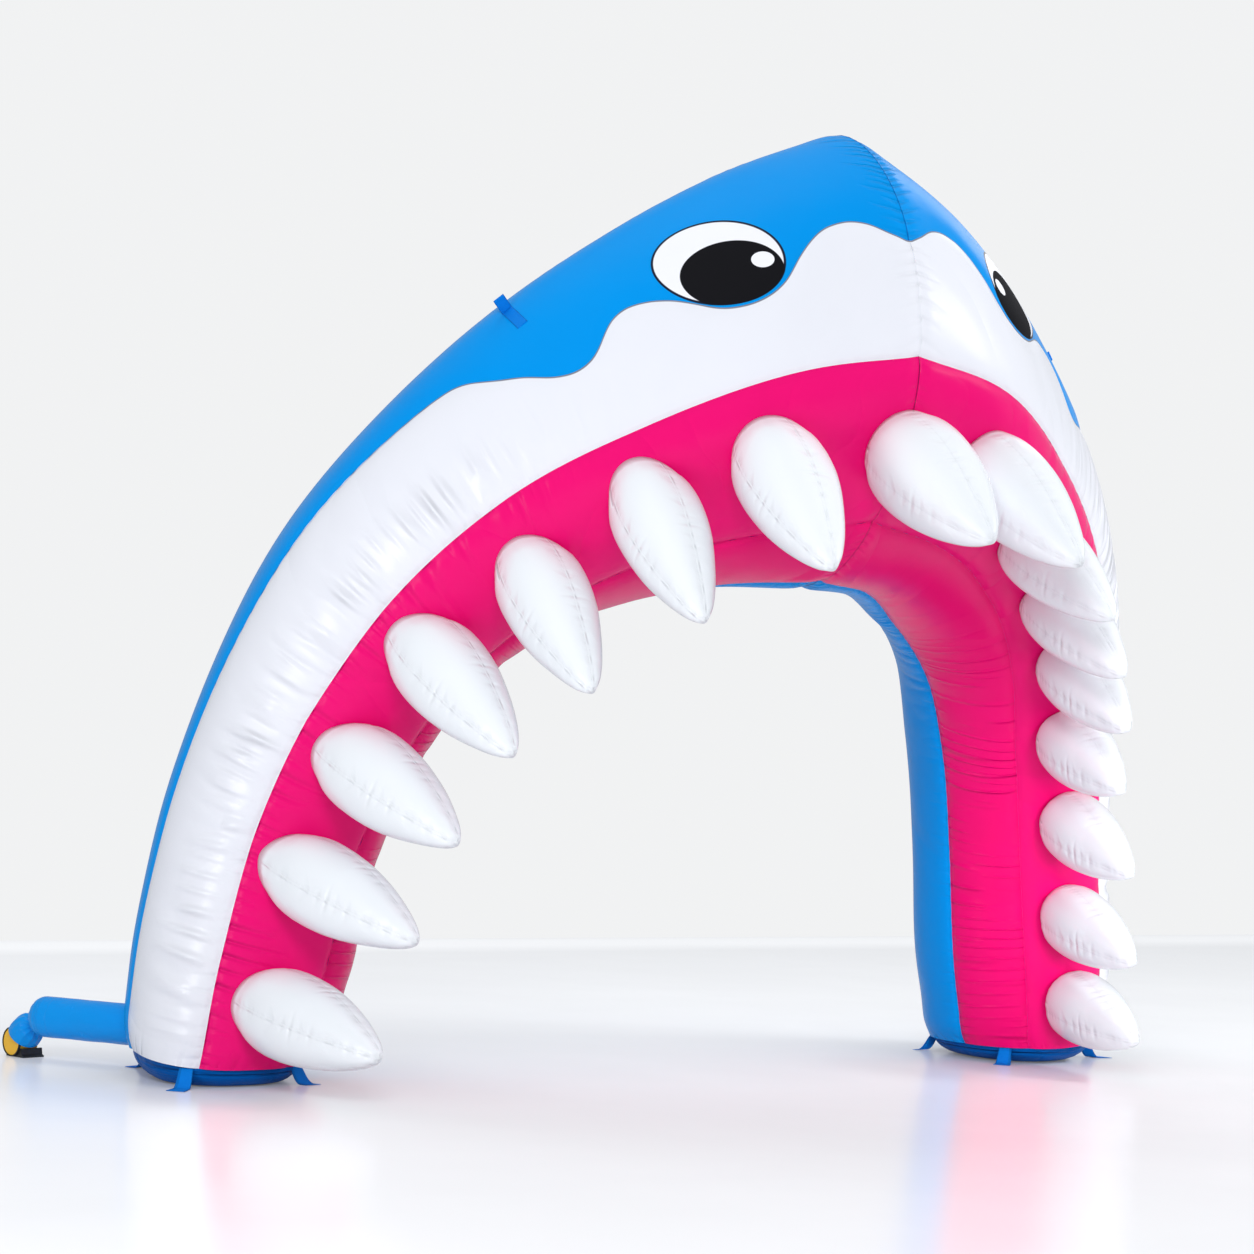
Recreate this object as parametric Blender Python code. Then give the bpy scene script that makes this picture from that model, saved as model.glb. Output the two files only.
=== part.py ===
"""Walk-through inflatable arch shaped as the open upper jaw of a fish, fed by a small blower.

Metres, +Z up. The front is -Y and the arch spans X. The skin is built as its cut panels, each a thin
sheet in its blown-up shape. Sizes and places are measured from the floor point midway between the feet.
The finished pieces are then moved so that the origin is the floor point under the middle of the whole.
"""

import math

import bmesh
import bpy
from mathutils import Matrix, Vector
from mathutils.bvhtree import BVHTree

# ---- sizes shared by all pieces -------------------------------------------------------------------
SHEET = 0.001  # coated cloth
GROUND_SHEET = 0.003  # heavier PVC under each foot
WEBBING = 0.002
GAP = 0.0003  # between neighbouring pieces
SEAM_DIP = 0.008  # the skin is drawn in by this much along its seams
FOOT_SEAM_HEIGHT = 0.06
WEBBING_WIDTH = 0.050

ORIGIN = (-0.080, -0.763, 0.0)  # middle of the whole, seen from the point midway between the feet

# ---- the skin: one row for each eighth of the way from the right foot to the nose -------------------
# x, y, z: middle of the section. turn: the section turned in its own plane, degrees.
# half, front, back: its reach sideways, forwards and backwards. power: 2 is an ellipse, less is pointed.
# gum_out, gum_in, mouth_in: the seams beside the gum and behind the mouth panel, degrees from the front.
STATION_COLUMNS = (
    "x", "y", "z", "turn", "half", "front", "back", "power", "gum_out", "gum_in", "mouth_in"
)
STATIONS = (
    (2.057, 0.000, 0.060, -2.2, 0.376, 0.394, 0.389, 2.35, 30.1, -30.9, -78.8),
    (1.976, -0.046, 0.522, -3.0, 0.439, 0.420, 0.418, 2.30, 31.2, -32.1, -78.2),
    (1.892, -0.113, 1.052, -1.6, 0.443, 0.427, 0.434, 2.24, 29.9, -33.1, -78.4),
    (1.758, -0.256, 1.557, 1.1, 0.462, 0.456, 0.467, 2.19, 27.7, -34.2, -78.8),
    (1.562, -0.456, 2.010, 5.3, 0.509, 0.519, 0.503, 2.04, 24.8, -34.1, -81.4),
    (1.259, -0.667, 2.392, 9.7, 0.592, 0.617, 0.539, 1.80, 20.7, -34.9, -83.8),
    (0.876, -0.871, 2.706, 11.7, 0.719, 0.729, 0.592, 1.66, 13.7, -39.7, -83.1),
    (0.437, -1.093, 2.946, 9.7, 0.850, 0.791, 0.642, 1.72, 9.1, -46.7, -82.6),
    (0.000, -1.230, 3.059, 4.2, 0.942, 0.734, 0.686, 1.80, 1.6, -53.5, -82.2),
)

# Where the white face meets the blue back: share of the way to the nose, degrees from the front.
FACE_EDGE = (
    (0.000, 97.5), (0.125, 100.9), (0.250, 100.8), (0.375, 96.1), (0.500, 87.1), (0.640, 71.5),
    (0.675, 60.0), (0.715, 43.5), (0.740, 46.0), (0.765, 54.5), (0.787, 51.0), (0.820, 38.5),
    (0.850, 34.5), (0.880, 40.0), (0.912, 51.5), (0.942, 50.5), (1.000, 39.0),
)  # fmt: skip

PANEL_ROWS = 26
PANEL_SEGMENTS = {"gum": 4, "mouth": 4, "face": 6, "back": 13}
LEVEL_SHARE = 0.10  # over this share above the floor the sections turn level
NOSE_SHARE = 0.50  # from this share on they turn into the middle plane

# ---- the teeth --------------------------------------------------------------------------------------
# place: share of the way from the foot to the nose, angle: degrees from the front of the section,
# splay: outwards and dip: downwards from straight ahead, degrees; radius and length in metres.
TOOTH_COLUMNS = ("name", "side", "place", "angle", "splay", "dip", "radius", "length")
TEETH = (
    ("tooth_left_1", -1, 0.087, -1.5, -10.0, 9.5, 0.185, 0.80),
    ("tooth_left_2", -1, 0.226, 2.0, -15.0, 17.5, 0.180, 0.80),
    ("tooth_left_3", -1, 0.358, -1.5, -11.0, 23.0, 0.185, 0.80),
    ("tooth_left_4", -1, 0.498, 0.0, -6.0, 31.5, 0.183, 0.80),
    ("tooth_left_5", -1, 0.625, -6.5, 4.5, 38.0, 0.176, 0.80),
    ("tooth_left_6", -1, 0.742, -6.5, 7.0, 40.0, 0.178, 0.80),
    ("tooth_left_7", -1, 0.850, -12.0, 9.0, 36.5, 0.190, 0.80),
    ("tooth_middle", 1, 1.000, -28.5, 0.0, 31.0, 0.205, 0.74),
    ("tooth_right_8", 1, 0.879, -15.0, 2.5, 33.5, 0.188, 0.76),
    ("tooth_right_7", 1, 0.758, -16.5, 0.0, 29.0, 0.165, 0.72),
    ("tooth_right_6", 1, 0.646, -14.0, -5.0, 28.5, 0.162, 0.72),
    ("tooth_right_5", 1, 0.537, -9.0, -11.0, 25.5, 0.162, 0.72),
    ("tooth_right_4", 1, 0.421, -7.5, -14.0, 19.0, 0.160, 0.72),
    ("tooth_right_3", 1, 0.304, -4.5, -10.5, 18.5, 0.158, 0.72),
    ("tooth_right_2", 1, 0.183, -4.5, -10.0, 14.5, 0.158, 0.72),
    ("tooth_right_1", 1, 0.079, -1.5, -12.0, 10.0, 0.160, 0.72),
)
# Bullet profile of a tooth: height as a share of its length, radius as a share of its widest.
TOOTH_PROFILE = (
    (0.00, 0.83), (0.09, 0.96), (0.22, 1.00), (0.38, 0.95), (0.56, 0.80), (0.74, 0.57), (0.90, 0.29),
)  # fmt: skip
TOOTH_SIDES = 12

# ---- foot cups, webbing -----------------------------------------------------------------------------
CUP_SIDES = 40
# Side wall of the cup: height, and how far it is drawn in from the seam.
CUP_WALL = ((FOOT_SEAM_HEIGHT - GAP, 0.000), (0.030, 0.006), (0.008, 0.026), (0.000, 0.050))
# Floor loops: side, degrees from the front of the foot at a corner of the cup, reach along the floor.
FLOOR_LOOPS = (
    ("floor_loop_left_front_out", -1, 36.0, 0.135),
    ("floor_loop_left_front_in", -1, -45.0, 0.085),
    ("floor_loop_left_back_out", -1, 153.0, 0.110),
    ("floor_loop_left_back_in", -1, -135.0, 0.085),
    ("floor_loop_right_front_out", 1, 63.0, 0.085),
    ("floor_loop_right_front_in", 1, -45.0, 0.090),
    ("floor_loop_right_back_out", 1, 153.0, 0.085),
    ("floor_loop_right_back_in", 1, -135.0, 0.085),
)
GUY_LOOP = {"place": 0.703, "angle": 86.0, "height": 0.075, "thick": 0.005, "patch": 0.120}

# ---- sleeve, neck and blower ------------------------------------------------------------------------
SLEEVE = {"start": (-2.287, 0.366, 0.184), "end": (-2.534, 0.722, 0.186), "radius": 0.083}
SLEEVE_SIDES = 20
DOME_FLATNESS = 0.8  # height of the sleeve's domed end over its radius
NECK_SHEET = 0.0015
NECK_FOLDS = 9
NECK_SIDES = 36
# Neck, from its tie at the sleeve to its rim on the drum: share of the way, radius, fold depth.
NECK = (
    (0.00, 0.018, 0.0040), (0.12, 0.038, 0.0055), (0.30, 0.060, 0.0040), (0.52, 0.072, 0.0025),
    (0.76, 0.0758, 0.0010), (1.00, 0.0737, 0.0000),
)  # fmt: skip
# Blower, measured in its own frame: along its outlet, up, and the way its drum faces.
BLOWER_SPOT = (-2.628, 0.888)  # on the floor under the middle of the drum's face
BLOWER_TURN = 75.0  # the face looks this far from the front towards -X
DRUM = {"radius": 0.0585, "length": 0.100, "height": 0.064, "sides": 32, "edge": 0.004}
DRUM_RIM = {"outer": 0.0625, "behind": 0.010, "ahead": 0.002}
DRUM_NECK = {"angle": 48.0, "distance": 0.038}  # where the neck's rim crosses the drum
STAND = {"behind": -0.046, "ahead": 0.066, "height": 0.038, "toe": 0.012, "toe_height": 0.007,
         "from": 0.0105, "to": 0.118}  # fmt: skip

COLOURS = {
    "blue": ((0.0, 0.235, 0.80), 0.38, 0.0),
    "white": ((0.86, 0.87, 0.93), 0.38, 0.0),
    "pink": ((0.85, 0.012, 0.19), 0.38, 0.0),
    "ground": ((0.0, 0.085, 0.36), 0.50, 0.0),
    "yellow": ((0.95, 0.55, 0.05), 0.35, 0.0),
    "black": ((0.02, 0.02, 0.02), 0.45, 0.0),
}

Y_AXIS = Vector((0.0, 1.0, 0.0))
Z_AXIS = Vector((0.0, 0.0, 1.0))
FORWARD = -Y_AXIS


def clear_scene():
    for obj in list(bpy.data.objects):
        bpy.data.objects.remove(obj, do_unlink=True)


def make_collection(name):
    collection = bpy.data.collections.new(name)
    bpy.context.scene.collection.children.link(collection)
    return collection


def make_material(name):
    colour, roughness, metallic = COLOURS[name]
    material = bpy.data.materials.new(name)
    material.use_nodes = True
    shader = material.node_tree.nodes["Principled BSDF"]
    shader.inputs["Base Color"].default_value = (*colour, 1.0)
    shader.inputs["Roughness"].default_value = roughness
    shader.inputs["Metallic"].default_value = metallic
    material.diffuse_color = (*colour, 1.0)
    return material


def add_object(name, mesh, material_name, matrix=Matrix()):
    mesh.transform(Matrix.Translation(-Vector(ORIGIN)) @ matrix)
    mesh.materials.append(MATERIALS[material_name])
    mesh.shade_smooth()
    obj = bpy.data.objects.new(name, mesh)
    PARTS.objects.link(obj)
    return obj


def mesh_from(bm, name):
    """The finished bmesh as a mesh with its faces pointing out."""
    bmesh.ops.recalc_face_normals(bm, faces=bm.faces)
    mesh = bpy.data.meshes.new(name)
    bm.to_mesh(mesh)
    bm.free()
    return mesh


# ---- the shape of the skin --------------------------------------------------------------------------
def smooth_value(before, low, high, after, t):
    """Catmull-Rom between low and high."""
    return 0.5 * (
        2 * low
        + (high - before) * t
        + (2 * before - 5 * low + 4 * high - after) * t**2
        + (3 * low - before - 3 * high + after) * t**3
    )


def station_values(place):
    """Every column of the station table, smoothly read at a share of the way to the nose."""
    last = len(STATIONS) - 1
    position = min(max(place, 0.0), 1.0) * last
    row = min(int(position), last - 1)
    low, high = STATIONS[row], STATIONS[row + 1]
    before = STATIONS[row - 1] if row else [2 * a - b for a, b in zip(low, high)]
    after = STATIONS[row + 2] if row + 2 <= last else [2 * b - a for a, b in zip(low, high)]
    t = position - row
    values = [smooth_value(*four, t) for four in zip(before, low, high, after)]
    return dict(zip(STATION_COLUMNS, values))


def face_edge(place):
    for (low_place, low), (high_place, high) in zip(FACE_EDGE, FACE_EDGE[1:]):
        if place <= high_place:
            return low + (high - low) * (place - low_place) / (high_place - low_place)
    return FACE_EDGE[-1][1]


def section_frame(place):
    """Middle of the section and its two directions: outwards and forwards."""
    step = 0.001
    low, here, high = (station_values(place + shift) for shift in (-step, 0.0, step))
    middle = Vector((here["x"], here["y"], here["z"]))
    along = Vector([high[axis] - low[axis] for axis in "xyz"]).normalized()
    nose = min(max((place - NOSE_SHARE) / (1 - NOSE_SHARE), 0.0), 1.0)
    nose = nose * nose * (3 - 2 * nose)
    along = (along * (1 - nose) + Vector((-1, 0, 0)) * nose).normalized()
    level = max(1 - place / LEVEL_SHARE, 0.0) ** 2
    along = (along * (1 - level) + Z_AXIS * level).normalized()
    outwards = along.cross(FORWARD).normalized()
    return here, middle, outwards, outwards.cross(along)


def skin_point(place, angle, inset=0.0):
    """Point of the right half of the skin, at an angle in degrees from the front of its section."""
    here, middle, outwards, forwards = section_frame(place)
    sine, cosine = math.sin(math.radians(angle)), math.cos(math.radians(angle))
    reach = here["front"] if cosine > 0 else here["back"]
    power = here["power"]
    radius = (abs(sine / here["half"]) ** power + abs(cosine / reach) ** power) ** (-1 / power)
    radius -= inset
    turn = math.radians(here["turn"])
    out = radius * (sine * math.cos(turn) - cosine * math.sin(turn))
    ahead = radius * (sine * math.sin(turn) + cosine * math.cos(turn))
    return middle + outwards * out + forwards * ahead


def panel_bounds(panel, place):
    here = station_values(place)
    seams = {
        "gum": (here["gum_in"], here["gum_out"]),
        "face": (here["gum_out"], face_edge(place)),
        "back": (face_edge(place), 360.0 + here["mouth_in"]),
        "mouth": (here["mouth_in"], here["gum_in"]),
    }
    return seams[panel]


def panel_row(panel, place, depth):
    """Points across a panel, one sheet's depth under the skin, kept half a gap from its seams."""
    start, end = panel_bounds(panel, place)
    edge_gap = math.degrees(GAP / 2 / station_values(place)["half"])
    start, end = start + edge_gap, end - edge_gap
    count = PANEL_SEGMENTS[panel]
    row = []
    for step in range(count + 1):
        angle = start + (end - start) * step / count
        dip = SEAM_DIP if step in (0, count) else 0.0
        row.append(skin_point(place, angle, dip + depth))
    return row


def loft_sheet(name, outer_rows, inner_rows):
    """Closed thin sheet between two grids of points that match row by row."""
    bm = bmesh.new()
    outer = [[bm.verts.new(point) for point in row] for row in outer_rows]
    inner = [[bm.verts.new(point) for point in row] for row in inner_rows]
    last_row, last = len(outer) - 1, len(outer[0]) - 1
    for grid in (outer, inner):
        for low, high in zip(grid, grid[1:]):
            for a, b, c, d in zip(low, low[1:], high[1:], high):
                bm.faces.new((a, b, c, d))
    for column in (0, last):
        for row in range(last_row):
            bm.faces.new((outer[row][column], outer[row + 1][column],
                          inner[row + 1][column], inner[row][column]))  # fmt: skip
    for row in (0, last_row):
        for column in range(last):
            bm.faces.new((outer[row][column], outer[row][column + 1],
                          inner[row][column + 1], inner[row][column]))  # fmt: skip
    return mesh_from(bm, name)


def mirrored(rows, side):
    return [[Vector((side * point.x, point.y, point.z)) for point in row] for row in rows]


def make_panels():
    colours = {"gum": "pink", "mouth": "pink", "face": "white", "back": "blue"}
    places = [row / PANEL_ROWS for row in range(PANEL_ROWS + 1)]
    for panel, colour in colours.items():
        grids = []
        for depth in (0.0, SHEET):
            rows = [panel_row(panel, place, depth) for place in places]
            rows[-1] = [Vector((GAP / 2, point.y, point.z)) for point in rows[-1]]
            grids.append(rows)
        for side, side_name in ((-1, "left"), (1, "right")):
            name = f"{panel}_panel_{side_name}"
            outer, inner = (mirrored(grid, side) for grid in grids)
            add_object(name, loft_sheet(name, outer, inner), colour)


def skin_tree():
    """Lookup tree over the outer faces of both halves of the skin."""
    vertices, faces = [], []
    for panel in PANEL_SEGMENTS:
        rows = [panel_row(panel, row / PANEL_ROWS, 0.0) for row in range(PANEL_ROWS + 1)]
        for side in (-1, 1):
            for low, high in zip(mirrored(rows, side), mirrored(rows, side)[1:]):
                for a, b, c, d in zip(low, low[1:], high[1:], high):
                    first = len(vertices)
                    vertices += [a, b, c, d]
                    faces += [(first, first + 1, first + 2), (first, first + 2, first + 3)]
    return BVHTree.FromPolygons(vertices, faces)


# ---- feet -------------------------------------------------------------------------------------------
def foot_outline(inset):
    """The foot seam's outline, drawn in by a distance, around the right foot."""
    return [skin_point(0.0, 360.0 * side / CUP_SIDES, SEAM_DIP + inset) for side in range(CUP_SIDES)]


def make_cups():
    """Ground cup of each foot: a flat PVC base whose rounded wall rises to the foot seam."""
    middle = Vector((STATIONS[0][0], 0.0, 0.0))
    for side, side_name in ((-1, "left"), (1, "right")):
        bm = bmesh.new()
        rings = []
        for inner in (False, True):
            depth = GROUND_SHEET if inner else 0.0
            for height, drawn in CUP_WALL if not inner else CUP_WALL[::-1]:
                lift = min(depth, CUP_WALL[0][0] - height)
                ring = []
                for point in foot_outline(drawn + depth):
                    ring.append(bm.verts.new((side * point.x, point.y, height + lift)))
                rings.append(ring)
        outer_count = len(CUP_WALL)
        for index in range(len(rings) - 1):
            if index == outer_count - 1:
                continue  # the base's two faces lie here
            low, high = rings[index], rings[index + 1]
            for a in range(CUP_SIDES):
                b = (a + 1) % CUP_SIDES
                bm.faces.new((low[a], low[b], high[b], high[a]))
        for a in range(CUP_SIDES):
            b = (a + 1) % CUP_SIDES
            bm.faces.new((rings[0][a], rings[0][b], rings[-1][b], rings[-1][a]))
        for ring, height in ((rings[outer_count - 1], 0.0), (rings[outer_count], GROUND_SHEET)):
            centre = bm.verts.new((side * middle.x, middle.y, height))
            for a in range(CUP_SIDES):
                bm.faces.new((ring[a], ring[(a + 1) % CUP_SIDES], centre))
        name = f"ground_cup_{side_name}"
        add_object(name, mesh_from(bm, name), "ground")


def strip_mesh(name, path, across, width, thickness, up):
    """Flat strap: a path of points, swept sideways to its width, with its thickness on the upper side."""
    directions = [(b - a).normalized() for a, b in zip(path, path[1:])]
    directions = [directions[0]] + [
        (a + b).normalized() for a, b in zip(directions, directions[1:])
    ] + [directions[-1]]
    rows_low, rows_high = [], []
    for point, direction in zip(path, directions):
        normal = across.cross(direction).normalized()
        if normal.dot(up) < 0:
            normal = -normal
        edges = [point - across * width / 2, point + across * width / 2]
        rows_low.append(edges)
        rows_high.append([edge + normal * thickness for edge in edges])
    return loft_sheet(name, rows_low, rows_high)


def make_floor_loops():
    """Webbing loops at the feet: each leaves the foot seam, drops and lies on the floor."""
    for name, side, angle, reach in FLOOR_LOOPS:
        ahead, behind = (skin_point(0.0, angle + turn, SEAM_DIP) for turn in (4.0, -4.0))
        along = (ahead - behind).normalized()
        outwards = along.cross(Z_AXIS).normalized()
        start = skin_point(0.0, angle, SEAM_DIP)
        if outwards.dot(start - Vector((STATIONS[0][0], 0.0, start.z))) < 0:
            outwards = -outwards
        heights = ((0.0, 0.057), (0.018, 0.034), (0.040, 0.010), (0.056, 0.0), (reach, 0.0))
        path = []
        for distance, height in heights:
            point = start + outwards * distance
            path.append(Vector((side * point.x, point.y, height)))
        across = Vector((side * along.x, along.y, 0.0)).normalized()
        add_object(name, strip_mesh(name, path, across, WEBBING_WIDTH, WEBBING, Z_AXIS), "blue")


# ---- teeth ------------------------------------------------------------------------------------------
def direction_of(side, splay, dip):
    splay, dip = math.radians(splay), math.radians(dip)
    return Vector((side * math.sin(splay) * math.cos(dip), -math.cos(splay) * math.cos(dip),
                   -math.sin(dip)))  # fmt: skip


def circle_points(centre, axis, radius, count):
    first = axis.orthogonal().normalized()
    second = axis.cross(first)
    points = []
    for index in range(count):
        angle = 2 * math.pi * index / count
        points.append(centre + first * radius * math.cos(angle) + second * radius * math.sin(angle))
    return points


def seated_ring(tree, centre, axis, radius, count):
    """A ring laid on the skin along the axis, and the lift that takes its straight edges clear of it."""
    reach = 0.3
    seated = []
    for point in circle_points(centre, axis, radius, count):
        seated.append(tree.ray_cast(point + axis * reach, -axis)[0])
    lift = 0.0
    for a, b in zip(seated, seated[1:] + seated[:1]):
        for step in range(1, 24):
            point = a.lerp(b, step / 24)
            hit = tree.ray_cast(point + axis * reach, -axis)[0]
            lift = max(lift, (hit - point).dot(axis))
    return seated, lift


def make_tooth(tree, row):
    tooth = dict(zip(TOOTH_COLUMNS, row))
    side, radius, length = tooth["side"], tooth["radius"], tooth["length"]
    base = skin_point(tooth["place"], tooth["angle"])
    base.x *= side
    axis = direction_of(side, tooth["splay"], tooth["dip"])
    shells, lifts = [], []
    for depth in (0.0, SHEET):
        width = radius * TOOTH_PROFILE[0][1] - depth
        base_ring, lift = seated_ring(tree, base, axis, width, TOOTH_SIDES)
        rings = [base_ring]
        for height, share in TOOTH_PROFILE[1:]:
            centre = base + axis * length * height
            rings.append(circle_points(centre, axis, radius * share - depth, TOOTH_SIDES))
        shells.append((rings, base + axis * (length - depth)))
        lifts.append(lift)
    bm = bmesh.new()
    bases = []
    for rings, tip in shells:
        rings[0] = [point + axis * (max(lifts) + GAP) for point in rings[0]]
        loops = [[bm.verts.new(point) for point in ring] for ring in rings]
        for low, high in zip(loops, loops[1:]):
            for a in range(TOOTH_SIDES):
                b = (a + 1) % TOOTH_SIDES
                bm.faces.new((low[a], low[b], high[b], high[a]))
        point = bm.verts.new(tip)
        for a in range(TOOTH_SIDES):
            bm.faces.new((loops[-1][a], loops[-1][(a + 1) % TOOTH_SIDES], point))
        bases.append(loops[0])
    for a in range(TOOTH_SIDES):
        b = (a + 1) % TOOTH_SIDES
        bm.faces.new((bases[0][a], bases[0][b], bases[1][b], bases[1][a]))
    add_object(tooth["name"], mesh_from(bm, tooth["name"]), "white")


# ---- guy loops --------------------------------------------------------------------------------------
def lift_clear(tree, spots, normal):
    """How far the spots move along the normal until the deepest one is just clear of the surface."""
    reach = 0.1
    hits = [tree.ray_cast(spot + normal * reach, -normal)[0] for spot in spots]
    return max((hit - spot).dot(normal) for hit, spot in zip(hits, spots)) + GAP


def make_guy_loops(tree):
    """Webbing loop that stands on each side of the back panel, with its tail sewn down beside it."""
    place, angle, thick = GUY_LOOP["place"], GUY_LOOP["angle"], GUY_LOOP["thick"]
    foot = skin_point(place, angle)
    along = (skin_point(place + 0.02, angle) - skin_point(place - 0.02, angle)).normalized()
    around = (skin_point(place, angle - 4) - skin_point(place, angle + 4)).normalized()
    out = along.cross(around).normalized()
    if out.dot(foot - section_frame(place)[1]) < 0:
        out = -out
    around = out.cross(along).normalized()
    if around.dot(FORWARD) < 0:
        around = -around
    height, patch = GUY_LOOP["height"], GUY_LOOP["patch"]
    shares = [step / 8 for step in range(9)]
    edges = [along * WEBBING_WIDTH * (share - 0.5) for share in shares]
    loop_spots = [foot + edge - around * thick * end for edge in edges for end in (0, 1)]
    patch_root = foot + around * 2 * GAP
    patch_spots = [patch_root + edge + around * patch * share for edge in edges for share in shares]
    loop_root = foot + out * lift_clear(tree, loop_spots, out)
    patch_root += out * lift_clear(tree, patch_spots, out)
    pieces = (
        ("guy_loop", [loop_root + out * height * share for share in (0.0, 0.5, 1.0)], thick, -around),
        ("guy_patch", [patch_root + around * patch * share for share in (0.0, 0.5, 1.0)], WEBBING, out),
    )
    for piece, path, thickness, upper in pieces:
        for side, side_name in ((-1, "left"), (1, "right")):
            turned = mirrored([path, [along, upper]], side)
            name = f"{piece}_{side_name}"
            mesh = strip_mesh(name, turned[0], turned[1][0], WEBBING_WIDTH, thickness, turned[1][1])
            add_object(name, mesh, "blue")


# ---- sleeve, neck and blower ------------------------------------------------------------------------
def tube_shell(name, rings_out, rings_in, sides, tips=None):
    """Round shell through matching outer and inner rings, closed by tips or left open at its far end."""
    bm = bmesh.new()
    outer = [[bm.verts.new(point) for point in ring] for ring in rings_out]
    inner = [[bm.verts.new(point) for point in ring] for ring in rings_in]

    def join(low, high):
        for a in range(sides):
            b = (a + 1) % sides
            bm.faces.new((low[a], low[b], high[b], high[a]))

    for grid in (outer, inner):
        for low, high in zip(grid, grid[1:]):
            join(low, high)
    join(outer[0], inner[0])
    if tips is None:
        join(outer[-1], inner[-1])
    else:
        for ring, tip in zip((outer[-1], inner[-1]), tips):
            point = bm.verts.new(tip)
            for a in range(sides):
                bm.faces.new((ring[a], ring[(a + 1) % sides], point))
    return mesh_from(bm, name)


def make_sleeve(tree):
    """Air sleeve: open where it meets the leg's skin, domed at its far end."""
    start, end = Vector(SLEEVE["start"]), Vector(SLEEVE["end"])
    axis = (end - start).normalized()
    shells, tips, lifts = [], [], []
    for depth in (0.0, SHEET):
        radius = SLEEVE["radius"] - depth
        root, lift = seated_ring(tree, start, axis, radius, SLEEVE_SIDES)
        rings = [root, circle_points(end, axis, radius, SLEEVE_SIDES)]
        for turn in (30.0, 60.0):
            bulge = math.radians(turn)
            centre = end + axis * radius * DOME_FLATNESS * math.sin(bulge)
            rings.append(circle_points(centre, axis, radius * math.cos(bulge), SLEEVE_SIDES))
        shells.append(rings)
        tips.append(end + axis * radius * DOME_FLATNESS)
        lifts.append(lift)
    for rings in shells:
        rings[0] = [point + axis * (max(lifts) + GAP) for point in rings[0]]
    mesh = tube_shell("sleeve", *shells, SLEEVE_SIDES, tips)
    corners = [vertex.co.copy() for vertex in mesh.vertices]
    sleeve_tree = BVHTree.FromPolygons(corners, [tuple(face.vertices) for face in mesh.polygons])
    add_object("sleeve", mesh, "blue")
    return sleeve_tree


def blower_matrix():
    """Placement of the blower's frame: X along its outlet, Y up, Z the way the drum faces."""
    turn = math.radians(BLOWER_TURN)
    faces = Vector((-math.sin(turn), -math.cos(turn), 0.0))
    outlet = Z_AXIS.cross(faces)
    basis = Matrix((outlet, Z_AXIS, faces)).transposed().to_4x4()
    return Matrix.Translation((*BLOWER_SPOT, 0.0)) @ basis


def neck_rings(tie, rim, outlet, depth):
    """Rings of the neck, on a path that leaves the tie and meets the rim square to the outlet."""
    bend = rim + outlet * (tie - rim).length * 0.5
    rings = []
    for share, radius, fold in NECK:
        centre = tie.lerp(bend, share).lerp(bend.lerp(rim, share), share)
        axis = (bend - tie).lerp(rim - bend, share).normalized()
        side = axis.cross(Z_AXIS).normalized()
        up = side.cross(axis)
        ring = []
        for step in range(NECK_SIDES):
            turn = 2 * math.pi * step / NECK_SIDES
            wide = radius - depth + fold * math.cos(NECK_FOLDS * turn)
            ring.append(centre + (side * math.cos(turn) + up * math.sin(turn)) * wide)
        rings.append(ring)
    return rings


def make_neck(sleeve_tree):
    """Cloth neck: gathered where it is tied to the sleeve's dome, open over the blower's drum."""
    place = blower_matrix()
    angle = math.radians(DRUM_NECK["angle"])
    middle = (DRUM_RIM["ahead"] - DRUM["length"]) / 2
    outlet = Vector((math.cos(angle), math.sin(angle), 0.0))
    rim = place @ (outlet * DRUM_NECK["distance"] + Vector((0.0, DRUM["height"], middle)))
    outlet = place.to_3x3() @ outlet
    tie = Vector(SLEEVE["end"])
    away = (rim - tie).normalized()
    tie += away * SLEEVE["radius"]
    for _ in range(3):
        tie += away * lift_clear(sleeve_tree, neck_rings(tie, rim, outlet, 0.0)[0], away)
    shells = [neck_rings(tie, rim, outlet, depth) for depth in (0.0, NECK_SHEET)]
    add_object("neck", tube_shell("neck", *shells, NECK_SIDES), "blue")


def make_drum():
    bm = bmesh.new()
    radius, length = DRUM["radius"], DRUM["length"]
    bmesh.ops.create_cone(
        bm, cap_ends=True, segments=DRUM["sides"], radius1=radius, radius2=radius, depth=length
    )
    rims = [edge for edge in bm.edges if edge.calc_face_angle() > math.radians(60)]
    bmesh.ops.bevel(
        bm, geom=rims, offset=DRUM["edge"], segments=2, profile=0.5, affect="EDGES"
    )
    mesh = mesh_from(bm, "blower_drum")
    mesh.transform(Matrix.Translation((0.0, DRUM["height"], -length / 2)))
    add_object("blower_drum", mesh, "yellow", blower_matrix())


def make_drum_rim():
    centre_front = Vector((0.0, DRUM["height"], DRUM_RIM["ahead"]))
    centre_back = Vector((0.0, DRUM["height"], -DRUM_RIM["behind"]))
    forwards = Vector((0.0, 0.0, 1.0))
    shells = []
    for radius in (DRUM_RIM["outer"], DRUM["radius"] + GAP):
        shells.append([circle_points(centre, forwards, radius, DRUM["sides"])
                       for centre in (centre_back, centre_front)])  # fmt: skip
    mesh = tube_shell("blower_rim", *shells, DRUM["sides"])
    add_object("blower_rim", mesh, "black", blower_matrix())


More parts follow.
